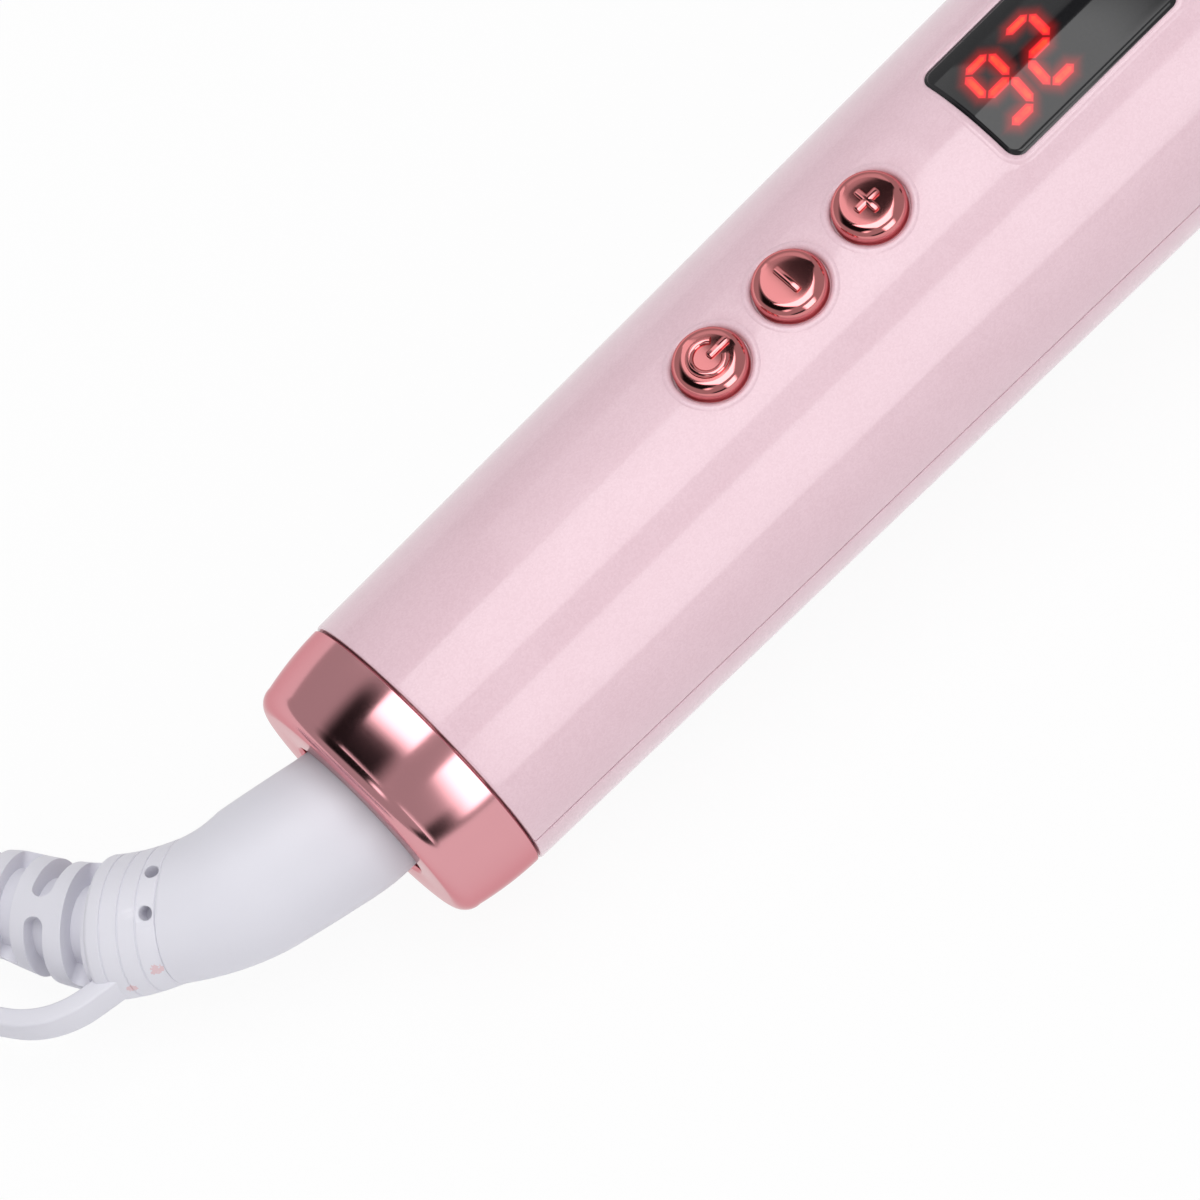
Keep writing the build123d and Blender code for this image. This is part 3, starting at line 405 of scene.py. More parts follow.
def barrelCoat(setup):
    finish = Finish("barrelCoat")
    fleck = finish.flakes(setup["flakes"])
    return finish.surface({
        "Base Color": finish.blendColours(fleck, setup["low"], setup["high"]), "Metallic": setup["metallic"],
        "Roughness": setup["rough"] + fleck * setup["spread"],
        "Coat Weight": setup["coat"], "Coat Roughness": setup["coatRough"],
    })


finishes = {
    "pearl_pink": pearlPink(pearl),
    "rose_chrome": roseChrome(
        "roseChrome", (0.68, 0.32, 0.35), (0.73, 0.35, 0.38), (0.8, 0.56, 0.58), 0.11,
    ),
    "window_black": darkMoulding("windowEdge", (0.008, 0.008, 0.009), (0.014, 0.014, 0.016), 0.06),
    "display_red": darkMoulding("displayCase", (0.02, 0.004, 0.004), (0.04, 0.008, 0.008), 0.4),
    "white_vinyl": whiteMoulding("whiteVinyl", **vinyl),
    "white_nylon": whiteMoulding("whiteNylon", linear(225, 224, 231), linear(233, 232, 238), 0.36),
    "black_tie": darkMoulding("blackTie", (0.012, 0.012, 0.013), (0.03, 0.03, 0.032), 0.45),
    "black_heatproof": darkMoulding("blackHeatproof", (0.014, 0.014, 0.015), (0.03, 0.03, 0.032), 0.38),
    "board_green": darkMoulding("boardGreen", (0.01, 0.08, 0.03), (0.02, 0.12, 0.05), 0.4),
    "barrel_coat": barrelCoat(heatCoat),
    "heater_ceramic": whiteMoulding("heaterCeramic", (0.7, 0.68, 0.64), (0.8, 0.78, 0.74), 0.5),
    "aluminium": metal("aluminium", (0.6, 0.61, 0.63), (0.78, 0.79, 0.8), 0.26),
    "steel": metal("brightSteel", (0.5, 0.5, 0.52), (0.7, 0.7, 0.71), 0.2),
    "brass": metal("brass", (0.62, 0.44, 0.2), (0.8, 0.6, 0.32), 0.22),
}
for part in frame["record"]["subparts"]:
    nodeMaterials = nodes[part["node"]].data.materials
    nodeMaterials.clear()
    nodeMaterials.append(finishes[part["material_slot"]])
print("finishes given to the frame's nodes")

# Drawing tools, in millimetres; points nearer than the weld, in metres, become one
weld = 1e-6


def lathe(name, profile, axis, steps):
    # One vertex is drawn out along (along, radius) pairs and spun about the axis
    clearSelection()
    bpy.ops.mesh.primitive_plane_add(size=mm)
    piece = bpy.context.object
    piece.name = name
    bpy.ops.object.mode_set(mode="EDIT")
    bpy.ops.mesh.select_all(action="SELECT")
    bpy.ops.mesh.merge(type="CENTER")
    last = Vector()
    for index, (along, radius) in enumerate(profile):
        spot = Vector((along, 0, radius) if axis == "X" else (radius, 0, along)) * mm
        if index:
            bpy.ops.mesh.extrude_vertices_move(TRANSFORM_OT_translate={"value": spot - last})
        else:
            bpy.ops.transform.translate(value=spot)
        last = spot
    bpy.ops.mesh.select_all(action="SELECT")
    bpy.ops.mesh.remove_doubles(threshold=weld)
    line = (1, 0, 0) if axis == "X" else (0, 0, 1)
    bpy.ops.mesh.spin(steps=steps, angle=2 * math.pi, center=(0, 0, 0), axis=line)
    return closeUp(piece)


def closeUp(piece):
    bpy.ops.mesh.select_all(action="SELECT")
    bpy.ops.mesh.remove_doubles(threshold=weld)
    bpy.ops.mesh.normals_make_consistent(inside=False)
    bpy.ops.object.mode_set(mode="OBJECT")
    return piece


def plainRing(unit, size):
    return unit * size


def roundRect(halfX, halfY, corner):
    def shape(unit, offset):
        middle = Vector((math.copysign(halfX - corner, unit.x), math.copysign(halfY - corner, unit.y), 0))
        return middle + unit * (corner + offset)
    return shape


def drawRings(name, around, stations, shape):
    # A disc is drawn out ring by ring; a station is a place and a size for the ring's shape
    clearSelection()
    bpy.ops.mesh.primitive_circle_add(vertices=around, radius=1.0, fill_type="NGON")
    piece = bpy.context.object
    piece.name = name
    bpy.ops.object.mode_set(mode="EDIT")
    bpy.ops.mesh.select_all(action="SELECT")
    bpy.ops.transform.rotate(value=math.pi / around, orient_axis="Z", center_override=(0, 0, 0))
    mesh = bmesh.from_edit_mesh(piece.data)
    unit = mesh.verts.layers.float_vector.new("unit")
    for vertex in mesh.verts:
        vertex[unit] = vertex.co
    for index, (place, size) in enumerate(stations):
        if index:
            bpy.ops.mesh.extrude_region_move()
        mesh = bmesh.from_edit_mesh(piece.data)
        unit = mesh.verts.layers.float_vector["unit"]
        for vertex in mesh.verts:
            if vertex.select:
                vertex.co = (place @ shape(vertex[unit], size)) * mm
        bmesh.update_edit_mesh(piece.data)
    closeUp(piece)
    piece.data.attributes.remove(piece.data.attributes["unit"])
    return piece


def atHeight(height):
    return Matrix.Translation((0, 0, height))


def rescaled(place, factor):
    # The same lie, with its offset in another unit
    moved = place.copy()
    moved.translation *= factor
    return moved


def cutStrips(piece, axis, half, pitch):
    # Cuts faces into strips, from -half to half, so that they can follow a curved surface
    pickOnly(piece)
    bpy.ops.object.mode_set(mode="EDIT")
    side = Vector([way == axis for way in range(3)])
    place = -half
    while place < half:
        bpy.ops.mesh.select_all(action="SELECT")
        bpy.ops.mesh.bisect(plane_co=side * place * mm, plane_no=side)
        place += pitch
    bpy.ops.object.mode_set(mode="OBJECT")


def cutWith(piece, cutter):
    pickOnly(piece)
    modifier = piece.modifiers.new("cut", "BOOLEAN")
    modifier.operation = "DIFFERENCE"
    modifier.solver = "EXACT"
    modifier.object = cutter
    bpy.ops.object.modifier_apply(modifier="cut")
    bpy.data.objects.remove(cutter, do_unlink=True)


def joinPieces(pieces):
    clearSelection()
    for piece in pieces:
        piece.select_set(True)
    bpy.context.view_layer.objects.active = pieces[0]
    bpy.ops.object.join()
    return bpy.context.object


def dress(piece, finish, angle):
    # Moves the piece from the iron's own frame to its place, and gives its finish and smoothing
    piece.data.transform(ironPlace)
    piece.data.materials.clear()
    piece.data.materials.append(finish)
    pickOnly(piece)
    bpy.ops.object.shade_smooth_by_angle(angle=math.radians(angle))


def settle(piece, slotName, body, angle, replaced, finish=None):
    dress(piece, finish or finishes[slotName], angle)
    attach(piece, body)
    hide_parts(replaced)


def between(low, high, share):
    return low + (high - low) * share


def arc(middle, radius, first, last, steps):
    # Points of a corner round, as (along, radius) pairs
    points = []
    for index in range(steps + 1):
        turn = math.radians(first + (last - first) * index / steps)
        points.append((middle[0] + radius * math.cos(turn), middle[1] + radius * math.sin(turn)))
    return points


def quarterTurns(steps):
    return [math.radians(90 * index / steps) for index in range(steps + 1)]


# Handle: two shells of one cone, with the seam, the button holes and the window's pocket
handle = {
    "length": 150.0, "rearRadius": 17.0, "frontRadius": 19.1, "wall": 2.2, "edge": 0.3,
    "edgeSteps": 4, "rings": (20.0, 42.0, 54.0, 66.0, 80.0, 84.0, 112.0, 130.0), "around": 256,
    "seam": 0.12, "seamRound": 0.14, "seamReach": 0.01, "outerReach": 0.2, "seamWeld": 1e-7, "smooth": 25.0,
}
buttons = {
    "places": {"power": 47.45, "minus": 59.25, "plus": 71.15}, "radius": 4.15, "gap": 0.25, "rise": 1.4,
    "edge": 1.4, "edgeSteps": 10, "dome": 0.05, "domeSteps": 4, "foot": -3.2, "around": 72, "smooth": 35.0,
    "rim": 0.6, "rimTurn": 75.0, "holeFoot": -4.0, "holeAround": 64, "lipGap": 0.16,
}
window = {
    "middle": 97.95, "length": 24.7, "width": 14.5, "corner": 1.4, "gap": 0.12, "sink": 0.1,
    "thickness": 1.4, "edge": 0.35, "edgeSteps": 6, "draft": -0.02, "around": 64, "smooth": 40.0,
    "rim": 0.55, "rimTurn": 74.0, "lipGap": 0.26, "gapShade": ((-1.5, 0.3), (-0.3, 0.3), (-0.22, 0.2)),
    "strips": (7.0, 0.3), "pocketStrips": (9.0, 0.4),
}
windowOutline = roundRect(window["length"] / 2, window["width"] / 2, window["corner"])
rim = {"steps": 6, "past": 1.2, "above": 1.0}
lip = {
    "reach": 1.25, "roll": 0.62, "height": 0.1, "sunk": 0.03, "root": -0.5, "foot": -1.2,
    "riseSteps": 8, "rollSteps": 9,
}


def handleRadius(x):
    return handle["rearRadius"] + (handle["frontRadius"] - handle["rearRadius"]) * x / handle["length"]


def drape(piece, x):
    # Heights over a flat plan, moved along to x, become heights over the handle's surface
    piece.data.transform(Matrix.Translation((x * mm, 0, 0)))
    for vertex in piece.data.vertices:
        along, across, height = vertex.co / mm
        vertex.co.z = (math.sqrt(handleRadius(along) ** 2 - across * across) + height) * mm


def rimArc(radius, turn):
    # The rounded mouth of a hole: (outward, height) steps from the wall up to the surface and past it
    steps = []
    for index in range(rim["steps"] + 1):
        angle = math.radians(turn * index / rim["steps"])
        steps.append((radius * (1 - math.cos(angle)), radius * (math.sin(angle) - 1)))
    lastOut, lastUp = steps[-1]
    steps.append((lastOut + rim["past"], lastUp + rim["past"] / math.tan(math.radians(turn))))
    return steps


def lipStations(hole):
    # A low bead round a hole, from under the surface, over its crest and down a round into the hole
    reach, roll, height, sunk = lip["reach"], lip["roll"], lip["height"], lip["sunk"]
    stations = [(atHeight(lip["root"]), hole + reach)]
    for index in range(lip["riseSteps"] + 1):
        share = index / lip["riseSteps"]
        up = height * (1 - math.cos(math.pi * share)) / 2 - sunk
        stations.append((atHeight(up), hole + between(reach, roll, share)))
    for turn in quarterTurns(lip["rollSteps"])[1:]:
        up = height - sunk - roll * (1 - math.cos(turn))
        stations.append((atHeight(up), hole + roll * (1 - math.sin(turn))))
    stations.append((atHeight(lip["foot"]), hole))
    return stations


def makeLips():
    lips = []
    for name, x in buttons["places"].items():
        stations = lipStations(buttons["radius"] + buttons["lipGap"])
        bead = drawRings(name + "Lip", buttons["around"], stations, plainRing)
        drape(bead, x)
        lips.append(bead)
    bead = drawRings("windowLip", window["around"], lipStations(window["lipGap"]), windowOutline)
    cutStrips(bead, 1, *window["pocketStrips"])
    drape(bead, window["middle"])
    return [*lips, bead]


def holeCutter(name, x):
    radius, foot = buttons["radius"] + buttons["gap"], buttons["holeFoot"]
    profile = [(foot, 0.0), (foot, radius)]
    profile += [(up, radius + out) for out, up in rimArc(buttons["rim"], buttons["rimTurn"])]
    top = profile[-1][0] + rim["above"]
    profile += [(top, profile[-1][1]), (top, 0.0)]
    cutter = lathe(name, profile, "Z", buttons["holeAround"])
    drape(cutter, x)
    return cutter


def pocketCutter():
    gap = window["gap"]
    stations = [(atHeight(-window["thickness"] - window["sink"]), gap)]
    mouth = rimArc(window["rim"], window["rimTurn"])
    stations += [(atHeight(up), gap + out) for out, up in mouth]
    stations.append((atHeight(mouth[-1][1] + rim["above"]), gap + mouth[-1][0]))
    cutter = drawRings("windowPocket", window["around"], stations, windowOutline)
    cutStrips(cutter, 1, *window["pocketStrips"])
    drape(cutter, window["middle"])
    return cutter


def parShell(shell, side):
    # Keeps one side of the seam and rounds the outer edges along it
    height = side * handle["seam"]
    pickOnly(shell)
    bpy.ops.object.mode_set(mode="EDIT")
    bpy.ops.mesh.select_all(action="SELECT")
    bpy.ops.mesh.bisect(
        plane_co=(0, 0, height * mm), plane_no=(0, 0, side), use_fill=True, clear_inner=True,
        threshold=handle["seamWeld"],
    )
    mesh = bmesh.from_edit_mesh(shell.data)
    for edge in mesh.edges:
        ends = [vertex.co / mm for vertex in edge.verts]
        onSeam = all(abs(end.z - height) < handle["seamReach"] for end in ends)
        outside = all(abs(end.y) > handleRadius(end.x) - handle["outerReach"] for end in ends)
        edge.select_set(onSeam and outside)
    bmesh.update_edit_mesh(shell.data)
    bpy.ops.mesh.bevel(offset=handle["seamRound"] * mm, segments=2)
    closeUp(shell)


def makeShells():
    length, edge, wall = handle["length"], handle["edge"], handle["wall"]
    rear, front = handle["rearRadius"], handle["frontRadius"]
    profile = arc((edge, rear - edge), edge, 180, 90, handle["edgeSteps"])
    profile += [(x, handleRadius(x)) for x in (*handle["rings"], length)]
    profile += [(length, front - wall), (0.0, rear - wall), profile[0]]
    upper = lathe("upperShell", profile, "X", handle["around"])
    pickOnly(upper)
    bpy.ops.object.duplicate()
    lower = bpy.context.object
    lower.name = "lowerShell"
    parShell(upper, 1)
    parShell(lower, -1)
    for name, x in buttons["places"].items():
        cutWith(upper, holeCutter(name + "Hole", x))
    cutWith(upper, pocketCutter())
    upper = joinPieces([upper, *makeLips()])
    settle(upper, "pearl_pink", "handle", handle["smooth"], "upper_shell")
    settle(lower, "pearl_pink", "handle", handle["smooth"], "lower_shell")


makeShells()
print("handle shells made")

# Chrome end cap: a crowned taper with a rounded rear rim and a rounded mouth for the stem
endCap = {
    "length": 10.2, "front": -0.25, "frontRadius": 16.9, "taper": 1.5, "crown": 0.35, "crownSteps": 24,
    "edge": 2.2, "edgeSteps": 14, "frontEdge": 0.15, "mouth": 9.0, "mouthEdge": 0.45, "mouthSteps": 6,
    "wall": 1.6, "spigot": 14.6, "spigotWall": 1.8, "spigotLength": 6.0, "around": 192, "smooth": 40.0,
}


def makeEndCap(setup):
    length, edge, face, front = setup["length"], setup["edge"], setup["front"], setup["frontRadius"]
    spigot, spigotLength = setup["spigot"], setup["spigotLength"]
    profile = [(spigotLength, spigot), (face, spigot), (face, front - setup["frontEdge"])]
    for index in range(setup["crownSteps"] + 1):
        along = between(face - setup["frontEdge"], edge - length, index / setup["crownSteps"])
        whole = -along / length
        profile.append((along, front - setup["taper"] * whole + 4 * setup["crown"] * whole * (1 - whole)))
    lastRadius = profile[-1][1]
    profile += arc((edge - length, lastRadius - edge), edge, 90, 180, setup["edgeSteps"])[1:]
    mouth, mouthEdge = setup["mouth"], setup["mouthEdge"]
    profile += arc((mouthEdge - length, mouth + mouthEdge), mouthEdge, 180, 270, setup["mouthSteps"])
    inner, inside = spigot - setup["spigotWall"], setup["wall"] - length
    profile += [(inside, mouth), (inside, inner), (spigotLength, inner), profile[0]]
    cap = lathe("endCap", profile, "X", setup["around"])
    settle(cap, "rose_chrome", "handle", setup["smooth"], "end_cap")


makeEndCap(endCap)
print("end cap made")

# Buttons: domed, with a raised sign
signs = {
    "stroke": 0.9, "soft": 0.26, "softSteps": 3, "ring": 1.95, "ringGap": 38.0, "ringSteps": 40,
    "ringAround": 16, "stem": 2.95, "stemMiddle": 1.55, "arm": 3.3, "bar": 3.8, "lift": 0.75, "up": 0.08,
}
buttonChrome = roseChrome("buttonChrome", (0.66, 0.225, 0.23), (0.7, 0.245, 0.25), (0.8, 0.5, 0.5), 0.06)


def openRing():
    stations = []
    for index in range(signs["ringSteps"] + 1):
        share = index / signs["ringSteps"]
        turn = math.radians(between(signs["ringGap"], 360 - signs["ringGap"], share))
        place = Matrix.Rotation(turn, 4, "Z") @ Matrix.Translation((signs["ring"], 0, 0))
        stations.append((place @ Matrix.Rotation(-math.pi / 2, 4, "X"), signs["stroke"] / 2))
    return drawRings("openRing", signs["ringAround"], stations, plainRing)


def bar(lengthX, lengthY):
    clearSelection()
    bpy.ops.mesh.primitive_cube_add(size=1.0)
    piece = bpy.context.object
    size = Vector((lengthX, lengthY, signs["stroke"])) * mm
    bpy.ops.object.mode_set(mode="EDIT")
    bpy.ops.transform.resize(value=size, center_override=(0, 0, 0))
    bpy.ops.mesh.bevel(offset=signs["soft"] * mm, segments=signs["softSteps"], affect="EDGES")
    bpy.ops.object.mode_set(mode="OBJECT")
    return piece


def makeSign(name):
    stroke, arm = signs["stroke"], signs["arm"]
    if name == "minus":
        parts = [bar(stroke, signs["bar"])]
    elif name == "plus":
        parts = [bar(stroke, arm), bar(arm, stroke)]
    else:
        parts = [bar(signs["stem"], stroke), openRing()]
        parts[0].data.transform(Matrix.Translation((signs["stemMiddle"] * mm, 0, 0)))
    sign = joinPieces(parts)
    sign.data.transform(Matrix.Diagonal((1, 1, signs["lift"], 1)))
    return sign


def makeButton(name, x):
    radius, edge, rise = buttons["radius"], buttons["edge"], buttons["rise"]
    flat = radius - edge
    profile = [(buttons["foot"], 0.0), (buttons["foot"], radius)]
    for turn in quarterTurns(buttons["edgeSteps"]):
        profile.append((rise - edge + edge * math.sin(turn), flat + edge * math.cos(turn)))
    for index in range(1, buttons["domeSteps"] + 1):
        share = 1 - index / buttons["domeSteps"]
        profile.append((rise + buttons["dome"] * (1 - share * share), flat * share))
    button = lathe(name + "Button", profile, "Z", buttons["around"])
    sign = makeSign(name)
    sign.data.transform(atHeight((rise + signs["up"]) * mm))
    button = joinPieces([button, sign])
    button.data.transform(Matrix.Translation((x * mm, 0, handleRadius(x) * mm)))
    settle(button, "rose_chrome", name + "_key", buttons["smooth"], name + "_button", buttonChrome)


for buttonName, buttonPlace in buttons["places"].items():
    makeButton(buttonName, buttonPlace)
print("buttons made")

# Display window, with the figures glowing under its gloss. Core, halo and heart say how far out from a bar's
# edge each light is full, and where it is gone. The plan's UV map counts in planUnit millimetres
figures = {
    "middles": (89.9, 96.0), "lit": ("abcdfg", "abdeg"), "halfWidth": 1.77, "halfHeight": 3.95,
    "halfBar": 1.6, "halfUpright": 1.78, "halfStroke": 0.56, "slant": 0.114, "down": 0.65,
    "core": (-0.16, 0.12), "halo": (-0.1, 1.7), "heart": (-0.42, -0.1), "haloRed": 0.25,
    "heartGreen": 0.24, "coreGreen": 0.02, "coreBlue": 0.03, "patches": 700.0,
}
glass = {
    "planUnit": 100.0, "low": (0.01, 0.01, 0.011), "high": (0.016, 0.016, 0.018), "dust": 2600.0,
    "rough": 0.03, "spread": 0.02, "gloss": 0.42,
}


def figurePlaces(setup):
    # Centre and lie of each lit bar: top, upper right, lower right, bottom, lower left, upper left, middle
    wide, high = setup["halfWidth"], setup["halfHeight"]
    spots = {
        "a": (0, high, False), "b": (wide, high / 2, True), "c": (wide, -high / 2, True),
        "d": (0, -high, False), "e": (-wide, -high / 2, True), "f": (-wide, high / 2, True),
        "g": (0, 0, False),
    }
    for middle, lit in zip(setup["middles"], setup["lit"]):
        for letter in lit:
            x, y, upright = spots[letter]
            yield middle + x, y - setup["down"], upright


def windowGlass(setup):
    finish = Finish("windowGlass")
    along, across = [way * setup["planUnit"] for way in finish.mapSpot("plan")]
    along = along - (across + figures["down"]) * figures["slant"]
    nearest = None
    for x, y, upright in figurePlaces(figures):
        u, v = finish.maths("ABSOLUTE", along - x), finish.maths("ABSOLUTE", across - y)
        if upright:
            u, v = v, u
        half = figures["halfUpright"] if upright else figures["halfBar"]
        ends = (u + v - half) * math.sqrt(0.5)
        out = finish.maths("MAXIMUM", v - figures["halfStroke"], ends)
        nearest = finish.maths("MINIMUM", nearest, out) if nearest else out
    core, halo, heart = [1.0 - finish.fade(nearest, *figures[name]) for name in ("core", "halo", "heart")]
    patch = finish.noise(figures["patches"], detail=2.0)
    red = core + halo * halo * figures["haloRed"]
    green = heart * patch * patch * figures["heartGreen"] + core * figures["coreGreen"]
    light = finish.add("ShaderNodeCombineColor", {}, {0: red, 1: green, 2: core * figures["coreBlue"]})
    dust = finish.noise(setup["dust"], detail=2.0)
    return finish.surface({
        "Base Color": finish.blendColours(dust, setup["low"], setup["high"]),
        "Roughness": setup["rough"] + dust * setup["spread"], "Specular IOR Level": setup["gloss"],
        "Emission Color": light, "Emission Strength": 1.0,
    })


def makeWindow(setup):
    edge, sink = setup["edge"], setup["sink"]
    stations = [(atHeight(-sink - setup["thickness"]), setup["draft"])]
    for turn in quarterTurns(setup["edgeSteps"]):
        stations.append((atHeight(-sink - edge + edge * math.sin(turn)), edge * (math.cos(turn) - 1)))
    pane = drawRings("displayWindow", setup["around"], stations, windowOutline)
    # A ring in the window's black round the pane, just under the pocket's rim: painted shade that darkens the gap
    # round the window
    gapShadeStations = [(atHeight(height), out) for height, out in setup["gapShade"]]
    gapShade = drawRings("windowGapShade", setup["around"], gapShadeStations, windowOutline)
    piece = joinPieces([pane, gapShade])
    cutStrips(piece, 1, *setup["strips"])
    plan = piece.data.uv_layers.new(name="plan")
    for loop in piece.data.loops:
        spot = piece.data.vertices[loop.vertex_index].co / mm + Vector((setup["middle"], 0, 0))
        plan.data[loop.index].uv = spot.xy / glass["planUnit"]
    drape(piece, setup["middle"])
    settle(piece, "window_black", "handle", setup["smooth"], "display_window", windowGlass(glass))


makeWindow(window)
print("display window made")

# Swivel stem and strain relief, ring by ring along the bent centre line
stem = {
    "start": -8.45, "droop": 8.0, "kink": 14.0, "kinkRadius": 22.5, "straight": 8.5, "bendRadius": 26.0,
    "bendEnd": 60.0, "reliefStraight": 25.0, "neck": 8.1, "mouthRun": 3.25, "radius": 8.33,
    "endRadius": 7.75, "swell": 0.22, "length": 23.35, "jointAngle": 52.0, "turnFrom": 0.62, "edge": 0.12,
    "steps": 60, "around": 96, "smooth": 50.0,
}
relief = {
    "band": 2.0, "rings": 3, "ring": 1.75, "groove": 0.25, "grooveEdge": 0.08, "depth": 0.14,
    "lastRound": ((0.55, 0.0), (0.25, 0.1), (0.08, 0.3)), "ribRadius": 7.0, "endRadius": 4.5, "endEdge": 0.3,
    "sag": 1.0, "sagRun": 20.0, "steps": 40, "around": 96, "smooth": 38.0,
}
slots = {
    "rows": 6, "first": 1.5, "pitch": 4.4, "width": 2.5, "endFlat": 0.05, "core": 4.4, "past": 1.5,
    "webs": 2, "web": 2.4, "turn": 13.0, "around": 32, "strip": 0.6,
}
pegHoles = {
    "radius": 0.78, "depth": 2.2, "past": 1.6, "rim": 0.2, "rimTurn": 60.0, "apart": 35.0, "middle": 98.0,
    "around": 32,
}
strap = {
    "root": 3.9, "sink": 2.25, "reach": 13.0, "ramp": 6.5, "rampRound": 11.0, "tail": 5.5, "corner": 4.5,
    "lean": 1.0, "thickness": 2.1, "width": 3.9, "hook": 1.7, "soft": 0.35, "roundSteps": 12, "around": 24,
}
stemVinyl = whiteMoulding("scuffedVinyl", **vinyl, worn=True)


def stemLegs():
    # Length and radius of each leg of the centre line; a straight one has none
    kink = math.radians(stem["kink"])
    bend = math.radians(stem["bendEnd"]) - kink
    return (
        (stem["kinkRadius"] * kink, stem["kinkRadius"]), (stem["straight"], 0),
        (stem["bendRadius"] * bend, stem["bendRadius"]), (stem["reliefStraight"], 0),
    )


reliefEnd = sum(length for length, radius in stemLegs())
sleeveStart = stem["length"] + relief["band"] + relief["rings"] * (relief["groove"] + relief["ring"])


def stemPlace(run):
    # The lie of the centre line; the relief sags off it a little behind the joint
    along, across, angle, left = -stem["start"], 0.0, 0.0, run
    for length, radius in stemLegs():
        part = min(left, length)
        if radius:
            after = angle + part / radius
            along += radius * (math.sin(after) - math.sin(angle))
            across += radius * (math.cos(angle) - math.cos(after))
            angle = after
        else:
            along += part * math.cos(angle)
            across += part * math.sin(angle)
        left -= part
    if run >= stem["length"] - 1e-6:
        angle = max(angle, math.radians(stem["jointAngle"]))
    droop = math.radians(stem["droop"])
    side = Vector((0, math.cos(droop), -math.sin(droop)))
    forward = Vector((-math.cos(angle), 0, 0)) + side * math.sin(angle)
    inward = Vector((math.sin(angle), 0, 0)) + side * math.cos(angle)
    turned = Matrix((inward, forward.cross(inward), forward)).transposed().to_4x4()
    share = max(0.0, min(1.0, (run - stem["length"]) / relief["sagRun"]))
    sag = relief["sag"] * math.sin(math.pi * share)
    return Matrix.Translation(Vector((-along, 0, 0)) + side * across - inward * sag) @ turned


def stemRadius(run):
    mouth, end = stem["mouthRun"], stem["length"]
    if run < mouth:
        return between(stem["neck"], stem["radius"], run / mouth)
    share = (run - mouth) / (end - mouth)
    return between(stem["radius"], stem["endRadius"], share) + 4 * stem["swell"] * share * (1 - share)


def blendedPlace(run):
    # Rings turn over the stem's last stretch into the lie of the joint
    first = stem["length"] * stem["turnFrom"]
    share = max(0.0, min(1.0, (run - first) / (stem["length"] - first)))
    here, joint = stemPlace(min(run, stem["length"] - 1e-3)), stemPlace(stem["length"])
    ahead = math.acos(max(-1, min(1, here.col[2].xyz.dot(joint.col[2].xyz))))
    if not ahead:
        return here
    hinge = here.to_3x3().inverted() @ here.col[1].xyz
    return here @ Matrix.Rotation(ahead * share, 4, hinge)


def makeStem():
    stations = []
    for index in range(stem["steps"] + 1):
        run = stem["length"] * index / stem["steps"]
        stations.append((blendedPlace(run), stemRadius(run)))
    last, radius = stations[-1]
    stations[-1] = (last @ atHeight(-stem["edge"]), radius)
    stations.append((last, radius - stem["edge"]))
    piece = drawRings("swivelStem", stem["around"], stations, plainRing)
    settle(piece, "white_vinyl", "swivel", stem["smooth"], "swivel_stem", stemVinyl)
    return piece


def reliefStations():
    radius, run, edge = stem["endRadius"], stem["length"], stem["edge"]
    marks = [(run, radius - edge), (run + edge, radius)]
    run += relief["band"]
    for index in range(relief["rings"]):
        floor, slope, end = radius - relief["depth"], relief["grooveEdge"], run + relief["groove"]
        marks += [(run, radius), (run + slope, floor), (end - slope, floor), (end, radius)]
        run = end + relief["ring"]
    marks += [(run - back, radius - down) for back, down in relief["lastRound"]]
    for index in range(relief["steps"] + 1):
        share = index / relief["steps"]
        size = between(relief["ribRadius"], relief["endRadius"], share)
        marks.append((between(run, reliefEnd, share), size))
    marks.append((reliefEnd, relief["endRadius"] - relief["endEdge"]))
    return [(stemPlace(place), size) for place, size in marks]


def slotCutter(run, turn):
    # A long slot with round ends, wrapped round the sleeve
    outer, half = relief["ribRadius"], slots["width"] / 2
    halfLength = (math.pi / slots["webs"] - slots["web"] / 2 / outer) * outer
    stations = [(atHeight(slots["core"]), 0.0), (atHeight(outer + slots["past"]), 0.0)]
    outline = roundRect(halfLength, half, half - slots["endFlat"])
    cutter = drawRings("slot", slots["around"], stations, outline)
    cutStrips(cutter, 0, halfLength, slots["strip"])
    place = stemPlace(run)
    for vertex in cutter.data.vertices:
        x, y, z = vertex.co / mm
        angle = x / outer + math.radians(turn)
        vertex.co = (place @ Vector((z * math.cos(angle), z * math.sin(angle), y))) * mm
    return cutter


def pegCutter(turn):
    radius, depth, past = pegHoles["radius"], pegHoles["depth"], pegHoles["past"]
    profile = [(-depth, 0.0), (-depth, radius)]
    profile += [(up, radius + out) for out, up in rimArc(pegHoles["rim"], pegHoles["rimTurn"])]
    profile += [(past, profile[-1][1]), (past, 0.0)]
    cutter = lathe("pegHole", profile, "Z", pegHoles["around"])
    place = stemPlace(stem["length"] + relief["band"] / 2) @ Matrix.Rotation(math.radians(turn), 4, "Z")
    place = place @ Matrix.Translation((stem["endRadius"], 0, 0)) @ Matrix.Rotation(math.pi / 2, 4, "Y")
    cutter.data.transform(rescaled(place, mm))
    return cutter


